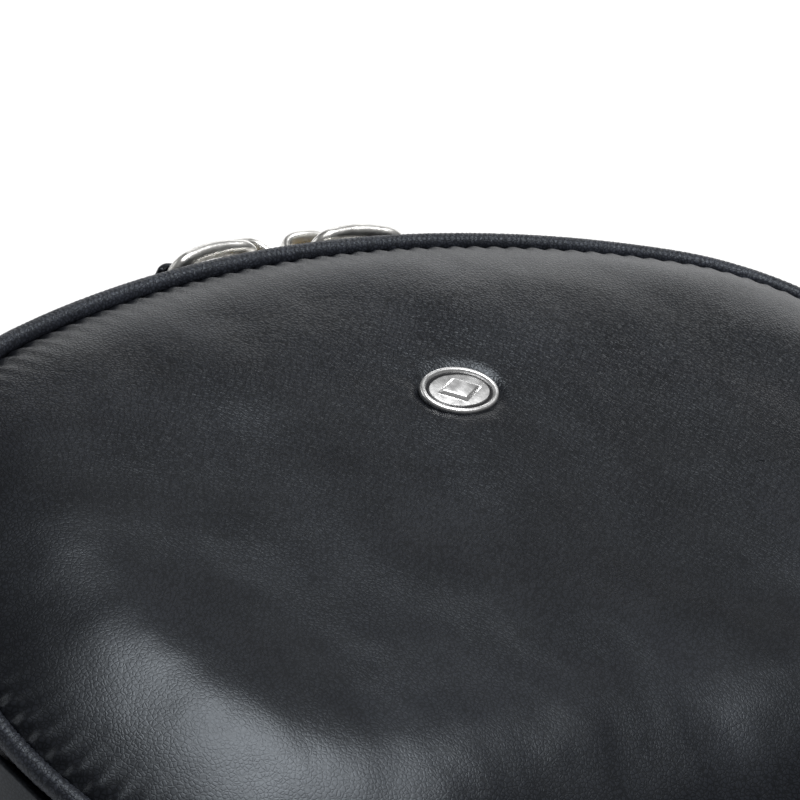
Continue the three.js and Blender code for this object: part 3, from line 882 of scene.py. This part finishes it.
def splitFront(source, nodes, declare=None):
    name = source.name
    halves = [keepSide(source, name + "Left", True), keepSide(source, name + "Right", False)]
    bpy.data.objects.remove(source)
    ends = [(mouthSizes["leftEnd"], mouthSizes["leftFull"]),
            (mouthSizes["rightEnd"], mouthSizes["rightFull"])]
    declares = declare if isinstance(declare, list) else [declare, declare]
    for half, (start, end), say in zip(halves, ends, declares):
        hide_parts(*nodes)
        if say:
            say(half)
        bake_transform(half)
    return halves


def rideBack(piece, nodes, declare=None):
    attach(piece, "back")
    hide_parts(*nodes)
    if declare:
        declare(piece)
    return piece


# works out the area of a lining's outline between two sides; the area is not used
def asSheet(low, high):
    def declare(piece):
        s = np.linspace(0, 2 * apexLength, 900, endpoint=False)
        x, y = insetPoints(s, layerSizes["liningRim"])
        x = np.clip(x, low, high)
        area = abs(np.sum(x * np.roll(y, -1) - np.roll(x, -1) * y)) / 2
    return declare


def fullyPadded(piece):
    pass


def addLayers():
    front, back = shape["frontPlane"], shape["backPlane"]
    splitFront(leatherPanel("frontLeather", front, 1, 3.7, True), ["front_panel"])
    rideBack(leatherPanel("backLeather", back, -1, 8.1, False), ["back_panel"])
    splitFront(stiffenerLayer("frontStiffener", front, 1), ["front_stiffener"], fullyPadded)
    rideBack(stiffenerLayer("backStiffener", back, -1), ["back_stiffener"], fullyPadded)
    cut, edge = shellSizes["mouthCut"], shape["halfWidth"]
    sides = [asSheet(-edge, cut), asSheet(cut, edge)]
    splitFront(liningLayer("frontLining", front, 1, 21.0), ["front_lining"], sides)
    rideBack(liningLayer("backLining", back, -1, 33.0), ["back_lining"], asSheet(-edge, edge))


addLayers()
print("panels, stiffeners and linings made")


def outlineLoop(inset, z, step):
    count = int(2 * apexLength / step)
    s = np.linspace(0, 2 * apexLength, count, endpoint=False)
    x, y = insetPoints(s, inset)
    return list(zip(x, y, np.full(count, z)))


def pipingCover(name, plane):
    path = pathCurve(name, outlineLoop(0, plane, pipingSizes["step"]), cyclic=True)
    path.data.materials.append(pipingLeather)
    values = {"Radius": shellSizes["pipingRadius"], "Crease Depth": pipingSizes["creaseDepth"],
              "Crease Pitch": pipingSizes["creasePitch"], "Slant": pipingSizes["slant"],
              "Sides": pipingSizes["sides"], "Finish": pipingLeather}
    return runTree(path, creasedPiping, values)


def pipingCord(name, plane):
    path = pathCurve(name, outlineLoop(0, plane, pipingSizes["cordStep"]), cyclic=True)
    values = {"Radius": pipingSizes["cordRadius"], "Crease Depth": pipingSizes["cordTwistDepth"],
              "Crease Pitch": pipingSizes["cordTwistPitch"], "Slant": 1.0, "Sides": 8,
              "Finish": cottonCord}
    return runTree(path, creasedPiping, values)


splitFront(pipingCover("frontPiping", shape["frontPlane"]), ["front_piping"])
rideBack(pipingCover("backPiping", shape["backPlane"]), ["back_piping"])
splitFront(pipingCord("frontCord", shape["frontPlane"]), ["front_piping_cord"])
rideBack(pipingCord("backCord", shape["backPlane"]), ["back_piping_cord"])
print("piping made")


chainSizes = {"lift": 0.9 * mm, "pitch": 1.25 * mm, "wire": 0.34 * mm, "reach": 2.35 * mm,
              "headDepth": 0.42 * mm, "halfHeight": 0.62 * mm, "endAngle": 9.6}

# sections are pairs in mm: inset from the outline, then distance from the piping's plane
tapeSizes = {"endAngle": 15.3, "middleGap": 0.25 * mm, "step": 0.8 * mm,
             "section": ((0.2, 1.8), (0.55, 1.25), (1.5, 0.55), (6.5, 0.55), (6.5, 1.05), (1.75, 1.05),
                         (1.0, 1.55), (0.7, 1.95))}

gussetSizes = {"endAngle": 15.6, "middle": -0.1 * mm, "step": 0.35 * mm, "pucker": 0.06 * mm,
               "puckerAt": 3.8 * mm, "puckerRun": 0.8 * mm,
               "side": ((0.95, 1.25), (0.45, 1.9), (0.15, 2.8), (-0.05, 4.2)),
               "seam": ((1.1, 2.3), (1.9, 1.25), (6.5, 1.2), (6.5, 0.6), (1.6, 0.6)),
               "liningInsets": (1.5 * mm, 1.9 * mm), "liningGap": 2.4 * mm, "liningStep": 1.5 * mm}


def footLength(angle):
    return footEnd - shellSizes["footRadius"] * math.radians(angle)


def tapeSection(plane, side):
    inner = shape["chainPlane"] + side * tapeSizes["middleGap"]
    corners = [(inset * mm, plane - side * gap * mm) for inset, gap in tapeSizes["section"]]
    return [(corners[0][0], inner)] + corners + [(corners[-1][0], inner)]


def zipTape(name, plane, side):
    start = footLength(tapeSizes["endAngle"])
    section = tapeSection(plane, side)
    return sweepSection(name, section, start, 2 * apexLength - start, tapeSizes["step"], tapeFabric)


# one turn of the coil: a bent round filament with a wider head that locks past the middle
def toothShape(side):
    reach, height = chainSizes["reach"], chainSizes["halfHeight"]
    head = -chainSizes["headDepth"]
    route = [(-0.18, -0.55, 1.0), (-0.3, 0.3, 1.02), (-0.3, 0.75, 0.93), (-0.22, 0.95, 0.6),
             (-0.1, 0.97, 0.2), (0.0, 0.85, -0.05), (0.04, 0.45, -0.16), (0.06, -0.05, -0.12),
             (0.1, -0.5, 0.2), (0.2, -0.6, 0.7), (0.3, -0.55, 1.0)]
    points = [Vector((x * chainSizes["pitch"], y * height, side * (z * reach if z > 0 else -z / 0.16 * head)))
              for x, y, z in route]
    vertices, sides = [], 6
    for i, point in enumerate(points):
        ahead = (points[min(i + 1, len(points) - 1)] - points[max(i - 1, 0)]).normalized()
        across = ahead.cross(Vector((1, 0, 0))).normalized()
        upward = ahead.cross(across)
        for k in range(sides):
            angle = 2 * math.pi * k / sides
            around = across * math.cos(angle) + upward * math.sin(angle)
            vertices.append(point + chainSizes["wire"] * around)
    return newObject("tooth", vertices, rodFaces(len(points), sides), coilNylon)


# the path runs clockwise over the arch, so that a tooth's Y points outwards
def coilTeeth(name, side):
    start = footLength(chainSizes["endAngle"])
    offset = chainSizes["pitch"] / 2 if side > 0 else 0
    s = np.arange(2 * apexLength - start - offset, start, -chainSizes["pitch"])
    x, y = insetPoints(s, -chainSizes["lift"])
    path = pathCurve(name, list(zip(x, y, np.full(len(s), shape["chainPlane"]))))
    tooth = toothShape(side)
    row = runTree(path, evenRow, {"Shape": tooth, "Pitch": chainSizes["pitch"], "Finish": coilNylon})
    bpy.data.objects.remove(tooth)
    row.data.shade_smooth()
    return row


def gussetSection():
    front, back, middle = shape["frontPlane"], shape["backPlane"], shape["chainPlane"]
    upper = [(inset * mm, front - gap * mm) for inset, gap in gussetSizes["side"]]
    lower = [(inset * mm, back + gap * mm) for inset, gap in reversed(gussetSizes["side"])]
    seamUp = [(inset * mm, back + gap * mm) for inset, gap in gussetSizes["seam"]]
    seamDown = [(inset, 2 * middle - z) for inset, z in reversed(seamUp)]
    outside = upper + [(gussetSizes["middle"], middle)] + lower
    return outside + list(reversed(seamUp)) + list(reversed(seamDown))


def gussetPucker(s, inset, z):
    wave = np.cos(2 * math.pi * s / shellSizes["stitchPitch"])
    away = abs(abs(z - shape["chainPlane"]) - gussetSizes["puckerAt"])
    return wave * gussetSizes["pucker"] * math.exp(-away / gussetSizes["puckerRun"])


def bottomGusset():
    end = footLength(gussetSizes["endAngle"])
    return sweepSection("bottomGusset", gussetSection(), -end, end, gussetSizes["step"], panelLeather,
                        gussetPucker)


def gussetLining():
    end = footLength(gussetSizes["endAngle"])
    low, high = shape["backPlane"] + gussetSizes["liningGap"], shape["frontPlane"] - gussetSizes["liningGap"]
    near, far = gussetSizes["liningInsets"]
    section = [(near, low), (near, high), (far, high), (far, low)]
    return sweepSection("gussetLining", section, -end, end, gussetSizes["liningStep"], liningFabric)


front, back = shape["frontPlane"], shape["backPlane"]
splitFront(zipTape("frontTape", front, 1), ["front_zip_tape"])
rideBack(zipTape("backTape", back, -1), ["back_zip_tape"])
splitFront(coilTeeth("frontCoil", 1), ["front_zip_coil"])
rideBack(coilTeeth("backCoil", -1), ["back_zip_coil"])
rideBack(bottomGusset(), ["bottom_gusset"])
rideBack(gussetLining(), ["gusset_lining"])
print("zip tape, coil and gusset made")


# a flat strap from side points (x, y, half width, half thickness), with softly rounded edges
def roundedStrap(name, stations, material, corner=0.45):
    vertices = []
    for i, (x, y, halfWidth, halfThick) in enumerate(stations):
        following = stations[min(i + 1, len(stations) - 1)]
        previous = stations[max(i - 1, 0)]
        ahead = Vector((following[0] - previous[0], following[1] - previous[1], 0)).normalized()
        outward = Vector((-ahead.y, ahead.x, 0))
        soft = min(corner * halfThick * 2, halfWidth * 0.9)
        for sign, vertical in ((1, 1), (-1, 1), (-1, -1), (1, -1)):
            steps = (0, 0.5, 1) if sign * vertical > 0 else (1, 0.5, 0)
            for step in steps:
                turn = step * math.pi / 2
                side = sign * (halfWidth - soft + soft * math.cos(turn))
                lift = vertical * (halfThick - soft * 0.9 + soft * 0.9 * math.sin(turn))
                vertices.append(Vector((x, y, 0)) + outward * lift + Vector((0, 0, side)))
    return newObject(name, vertices, rodFaces(len(stations), 12), material)


def stitchShape(length, thickness):
    rows, sides, vertices = 6, 6, []
    for i in range(rows):
        t = i / (rows - 1)
        radius = thickness * math.sin(math.pi * (0.08 + 0.84 * t)) ** 0.5
        arch = thickness * 0.8 * math.sin(math.pi * t)
        for k in range(sides):
            angle = 2 * math.pi * k / sides
            y = arch + radius * 0.7 * math.cos(angle)
            vertices.append(((t - 0.5) * length, y, radius * math.sin(angle)))
    return newObject("stitch", vertices, rodFaces(rows, sides), threadFinish)


# a slider's own frame is in mm, with X to the nose and Y outwards
sliderSizes = {"length": 10.0, "halfWidth": 3.9, "tailHalf": 2.6, "top": 2.3, "topLow": 1.2,
               "bottom": -3.0, "bottomHigh": -1.95, "pivotX": 1.5, "pivotY": 3.4, "farX": -8.5,
               "farY": 2.8, "topBevel": 0.42, "bottomBevel": 0.35, "railBevel": 0.18, "railFrom": 3.0,
               "railTo": 3.75, "railLow": -0.7}


def jointPlace(name):
    return Vector(next(j["pos_m"] for j in frame["joints"] if j["name"] == name))


def sliderMatrix(side):
    centre = jointPlace("slider_" + side + "_travel")
    pivot = jointPlace("pull_ring_" + side + "_swing") - centre
    nose = 1 if side == "left" else -1
    reach = math.hypot(pivot.x, pivot.y)
    lean = math.asin(nose * sliderSizes["pivotX"] * mm / reach)
    turn = lean - math.atan2(pivot.x, pivot.y)
    radius = math.sqrt(reach ** 2 - (sliderSizes["pivotX"] * mm) ** 2) - sliderSizes["pivotY"] * mm
    face = Matrix.Rotation(0 if nose > 0 else math.pi, 4, "Y")
    stand = Matrix.Translation((0, radius, 0)) @ face @ Matrix.Scale(mm, 4)
    return Matrix.Translation(centre) @ Matrix.Rotation(turn, 4, "Z") @ stand


def prism(name, outlinePoints, y0, y1, material):
    count = len(outlinePoints)
    vertices = [(x, y0, z) for x, z in outlinePoints] + [(x, y1, z) for x, z in outlinePoints]
    faces = [tuple(range(count)), tuple(reversed(range(count, 2 * count)))]
    faces += [(i, i + count, (i + 1) % count + count, (i + 1) % count) for i in range(count)]
    return newObject(name, vertices, faces, material)


def plateOutline():
    half, wide, narrow = sliderSizes["length"] / 2, sliderSizes["halfWidth"], sliderSizes["tailHalf"]
    side = [(-half, narrow * 0.8), (-half * 0.9, narrow), (-half * 0.5, narrow * 1.2),
            (-half * 0.15, wide * 0.97), (half * 0.2, wide), (half * 0.55, wide * 0.97),
            (half * 0.82, wide * 0.78), (half * 0.97, wide * 0.42)]
    return side + [(x, -z) for x, z in reversed(side)]


def sliderBody(name):
    upper = prism("top", plateOutline(), sliderSizes["topLow"], sliderSizes["top"], nickelPlate)
    top = bevelled(upper, sliderSizes["topBevel"], 4)
    lower = prism("bottom", plateOutline(), sliderSizes["bottom"], sliderSizes["bottomHigh"], nickelPlate)
    bottom = bevelled(lower, sliderSizes["bottomBevel"], 3)
    half = sliderSizes["length"] / 2
    post = [(half - 2.8, 0.1), (half - 1.6, 0.5), (half - 0.5, 0.45), (half - 0.5, -0.45),
            (half - 1.6, -0.5), (half - 2.8, -0.1)]
    wedge = prism("wedge", post, sliderSizes["bottom"] + 0.3, sliderSizes["top"] - 0.3, nickelPlate)
    rails = []
    near, far = sliderSizes["railFrom"], sliderSizes["railTo"]
    for sign in (1, -1):
        rail = [(-half * 0.3, sign * near), (half * 0.62, sign * near), (half * 0.62, sign * far),
                (-half * 0.1, sign * far)]
        solid = prism("rail", rail, sliderSizes["railLow"], sliderSizes["top"] - 0.3, nickelPlate)
        rails.append(bevelled(solid, sliderSizes["railBevel"], 2))
    return joinMeshes(name, [top, bottom, wedge] + rails)


crownSizes = {"from": -3.2, "run": 6.4, "height": 5.75, "halfWidth": 1.45, "halfThick": 0.5, "flare": 0.28,
              "rib": (0.13, 0.1, 0.95), "ribPitch": 0.52, "ribBevel": 0.05}


# the crown is a strap arched over the ring's bar, with a row of pressed ribs along its back
def sliderCrown(name):
    stations = []
    low = sliderSizes["top"] - 0.15
    for i in range(17):
        t = i / 16
        x = crownSizes["from"] + crownSizes["run"] * t
        arch = 1 - abs(2 * t - 1) ** 4.2
        y = low + (crownSizes["height"] - low) * arch ** 0.55
        flare = crownSizes["halfWidth"] * (1 + crownSizes["flare"] * math.sin(math.pi * t))
        stations.append((x + sliderSizes["pivotX"], y, flare, crownSizes["halfThick"]))
    strap = roundedStrap("strap", stations, nickelPlate)
    a, b, c = crownSizes["rib"]
    corners = [(x * a, y * b, z * c) for x in (-1, 1) for y in (-1, 1) for z in (-1, 1)]
    sides = [(0, 1, 3, 2), (4, 6, 7, 5), (0, 4, 5, 1), (2, 3, 7, 6), (0, 2, 6, 4), (1, 5, 7, 3)]
    rib = newObject("rib", corners, sides, nickelPlate)
    topPath = [(x, y + crownSizes["halfThick"] + 0.02, 0) for x, y, _, _ in stations[4:13]]
    values = {"Shape": rib, "Pitch": crownSizes["ribPitch"], "Finish": nickelPlate}
    ribs = runTree(pathCurve("ribs", topPath), evenRow, values)
    bpy.data.objects.remove(rib)
    return joinMeshes(name, [subdivided(strap), bevelled(ribs, crownSizes["ribBevel"], 2)])


ringSizes = {"length": 9.98, "halfWidth": 2.95, "corner": 1.7, "bow": 0.85, "wireAcross": 0.95, "wireUp": 0.8,
             "sides": 14, "steps": 7}


def ringCentre():
    length, half, corner, steps = (ringSizes[k] for k in ("length", "halfWidth", "corner", "steps"))
    corners = [(-corner, half - corner, 0), (-length + corner, half - corner, 90),
               (-length + corner, -half + corner, 180), (-corner, -half + corner, 270)]
    flat = []
    for x, z, start in corners:
        for k in range(steps + 1):
            angle = math.radians(start + 90 * k / steps)
            flat.append((x + corner * math.cos(angle), z + corner * math.sin(angle)))
    dense = []
    for i, (x, z) in enumerate(flat):
        nextX, nextZ = flat[(i + 1) % len(flat)]
        pieces = max(1, int(math.hypot(nextX - x, nextZ - z) / 0.6))
        dense += [(x + (nextX - x) * k / pieces, z + (nextZ - z) * k / pieces) for k in range(pieces)]
    return dense


def pullRing(name):
    drop = sliderSizes["pivotY"] - sliderSizes["farY"]
    path = []
    for x, z in ringCentre():
        along = min(max(-x / ringSizes["length"], 0), 1)
        path.append(Vector((x, ringSizes["bow"] * math.sin(math.pi * along) - drop * along, z)))
    vertices, sides = [], ringSizes["sides"]
    for i, point in enumerate(path):
        ahead = (path[(i + 1) % len(path)] - path[i - 1]).normalized()
        across = Vector((0, 1, 0)).cross(ahead).normalized()
        upward = ahead.cross(across)
        along = min(max(-point.x / ringSizes["length"], 0), 1)
        slim = 1 - 0.12 * (math.cos(2 * math.pi * along) * 0.5 + 0.5)
        for k in range(sides):
            angle = 2 * math.pi * k / sides
            vertices.append(point + across * ringSizes["wireAcross"] * slim * math.cos(angle)
                            + upward * ringSizes["wireUp"] * slim * math.sin(angle))
    ring = newObject(name, vertices, gridFaces(len(path), sides, True, True), nickelPlate)
    return placeMesh(ring, Matrix.Translation((sliderSizes["pivotX"], sliderSizes["pivotY"], 0)))


tabSizes = {"length": 20.0, "loopRadius": 1.32, "loopHalf": 1.85, "loopThick": 0.42, "loopSweep": 310,
            "halfThick": 0.82, "tailHalf": 2.6, "tailStart": 1.15, "widenFrom": 1.5, "widenRun": 5.0,
            "arch": 118.9, "settle": 1.3, "settleRun": 4.5, "stitchEdge": 0.7, "stitchLength": 1.5,
            "stitchThick": 0.17, "stitchPitch": 2.0}


# the strap goes round the ring's bar and back on itself; both layers are stitched together
def pullTab(name):
    farX, farY, radius = sliderSizes["farX"], sliderSizes["farY"], tabSizes["loopRadius"]
    stations = []
    for k in range(15):
        angle = math.radians(-tabSizes["loopSweep"] / 2 + tabSizes["loopSweep"] * k / 14)
        stations.append((farX + radius * math.cos(angle), farY + radius * math.sin(angle),
                         tabSizes["loopHalf"], tabSizes["loopThick"]))
    loop = roundedStrap("loop", stations, strapLeather)
    tail = []
    for k in range(26):
        t = k / 25
        x = farX - tabSizes["tailStart"] - (tabSizes["length"] - tabSizes["tailStart"]) * t
        run = -(x - farX)
        widen = min(1.0, max(0.0, (run - tabSizes["widenFrom"]) / tabSizes["widenRun"]))
        gain = tabSizes["tailHalf"] - tabSizes["loopHalf"]
        half = tabSizes["loopHalf"] + gain * (widen * widen * (3 - 2 * widen))
        fromEnd = tabSizes["length"] - run
        rounding = math.sqrt(max(0.0, 1 - max(0.0, 1 - fromEnd / tabSizes["tailHalf"]) ** 2))
        thick = tabSizes["halfThick"] * (0.8 if fromEnd < 0.4 else 1.0)
        sunk = tabSizes["settle"] * (1 - math.exp(-(run / tabSizes["settleRun"]) ** 2))
        fall = (x * x - farX * farX) / (2 * tabSizes["arch"]) + sunk
        tail.append((x, farY - fall, max(0.35, half * rounding), thick))
    strap = roundedStrap("tail", tail, strapLeather)
    top, margin = tabSizes["halfThick"], tabSizes["stitchEdge"]
    edge = [(x, y + top, half - margin) for x, y, half, _ in tail[6:-2] if half > 1.6]
    path = edge + [(x, y, -z) for x, y, z in reversed(edge)]
    stitch = stitchShape(tabSizes["stitchLength"], tabSizes["stitchThick"])
    values = {"Shape": stitch, "Pitch": tabSizes["stitchPitch"], "Finish": threadFinish}
    stitches = runTree(pathCurve("stitches", path), evenRow, values)
    bpy.data.objects.remove(stitch)
    return joinMeshes(name, [subdivided(loop), subdivided(strap)]), stitches


def dressSlider(side):
    matrix = sliderMatrix(side)
    body = placeMesh(sliderBody("sliderBody_" + side), matrix)
    crown = placeMesh(sliderCrown("sliderCrown_" + side), matrix)
    ring = placeMesh(pullRing("pullRing_" + side), matrix)
    tab, stitches = (placeMesh(piece, matrix) for piece in pullTab("pullTab_" + side))
    stitches.name = "pullTabStitches_" + side
    for piece, bodyName, node, slotName in (
            (body, "slider_" + side, "slider_body_" + side, "nickel"),
            (crown, "slider_" + side, "slider_crown_" + side, "nickel"),
            (ring, "ring_" + side, "pull_ring_" + side, "nickel"),
            (tab, "tab_" + side, "pull_tab_" + side, "strap_leather")):
        tidyNormals(piece)
        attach(piece, bodyName)
        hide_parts(node)
    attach(stitches, "tab_" + side)


for side in ("left", "right"):
    dressSlider(side)
print("sliders, rings and pull straps made")


def nodeObject(node):
    source = frame["nodes"][node]
    return source if isinstance(source, bpy.types.Object) else bpy.data.objects[node]


def copyNode(node, name, material):
    source = nodeObject(node)
    mesh = source.data.copy()
    mesh.transform(source.matrix_world)
    mesh.materials.clear()
    mesh.materials.append(material)
    return linked(name, mesh)


def ellipseRing(halfX, halfY, z):
    turns = [2 * math.pi * k / badgeSizes["sides"] for k in range(badgeSizes["sides"])]
    return [(halfX * math.cos(turn), halfY * math.sin(turn), z) for turn in turns]


# a plain oval plaque: raised rim, sunk field and a low lozenge in the middle
def badgePlaque():
    a, b = badgeSizes["halfLength"] / mm, badgeSizes["halfHeight"] / mm
    profile = [(0.0, 0.0), (0.0, 0.45), (0.12, 0.62), (0.3, 0.66), (0.5, 0.6), (0.56, 0.44), (0.75, 0.42),
               (0.95, 0.44), (1.2, 0.47), (1.8, 0.5), (2.6, 0.52)]
    vertices = [v for inset, z in profile for v in ellipseRing(a - inset, b - inset, z)]
    return newObject("plaque", vertices, rodFaces(len(profile), badgeSizes["sides"]), badgeMetal)


def badgeLozenge():
    corners = [(2.9, 0), (0, 1.75), (-2.9, 0), (0, -1.75)]
    vertices = [(x, y, 0.4) for x, y in corners] + [(x * 0.72, y * 0.72, 0.85) for x, y in corners]
    faces = [(3, 2, 1, 0), (4, 5, 6, 7)] + [(i, (i + 1) % 4, (i + 1) % 4 + 4, i + 4) for i in range(4)]
    return bevelled(newObject("lozenge", vertices, faces, badgeMetal, smooth=False), 0.1, 3)


def badgeField():
    a = badgeSizes["halfLength"] / mm - badgeSizes["field"]
    b = badgeSizes["halfHeight"] / mm - badgeSizes["field"]
    width = badgeSizes["fieldWidth"]
    outer, inner = ellipseRing(a, b, 0.47), ellipseRing(a - width, b - width, 0.5)
    low = ellipseRing(a - width, b - width, 0.3) + ellipseRing(a, b, 0.3)
    faces = gridFaces(4, badgeSizes["sides"], True, True)
    return newObject("badgeEnamel", outer + inner + low, faces, darkEnamel)


def dressBadge():
    place = Vector((badgeMiddle.x, badgeMiddle.y, shape["frontPlane"] + panelSizes["crown"]
                    - badgeSizes["recess"] - 0.02 * mm))
    matrix = Matrix.Translation(place) @ Matrix.Scale(mm, 4)
    plaque = placeMesh(joinMeshes("badgePlaque", [badgePlaque(), badgeLozenge()]), matrix)
    enamel = placeMesh(badgeField(), matrix)
    backing = copyNode("badge_backing", "badgeBacking", springBrass)
    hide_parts("badge")
    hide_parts("badge_backing")
    for piece in (plaque, enamel, backing):
        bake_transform(piece)


dressBadge()
print("badge made")


def blockOn(node, name, material, bevelWidth):
    obj = copyNode(node, name, material)
    mesh = obj.data
    work = bmesh.new()
    work.from_mesh(mesh)
    bmesh.ops.remove_doubles(work, verts=work.verts, dist=1e-6)
    bmesh.ops.dissolve_limit(work, angle_limit=0.02, verts=work.verts, edges=work.edges)
    bmesh.ops.recalc_face_normals(work, faces=work.faces)
    work.to_mesh(mesh)
    work.free()
    obj = bevelled(obj, bevelWidth, 4)
    obj.data.shade_smooth()
    return obj


def dressEnds():
    for side in ("left", "right"):
        stop = blockOn("zip_stop_" + side, "zipStop_" + side, nickelPlate, 0.45 * mm)
        rideBack(stop, ["zip_stop_" + side])
        tab = blockOn("zip_end_tab_" + side, "zipEndTab_" + side, strapLeather, 0.35 * mm)
        rideBack(tab, ["zip_end_tab_" + side])
    pocket = blockOn("inner_pocket", "innerPocket", liningFabric, 0.12 * mm)
    rideBack(pocket, ["inner_pocket"], lambda piece: piece)


def paintNode(node, material):
    obj = nodeObject(node)
    if not obj.material_slots:
        obj.data.materials.append(material)
    for materialSlot in obj.material_slots:
        materialSlot.material = material


dressEnds()
for side in ("left", "right"):
    paintNode("lock_spring_" + side, springBrass)
print("small pieces finished")
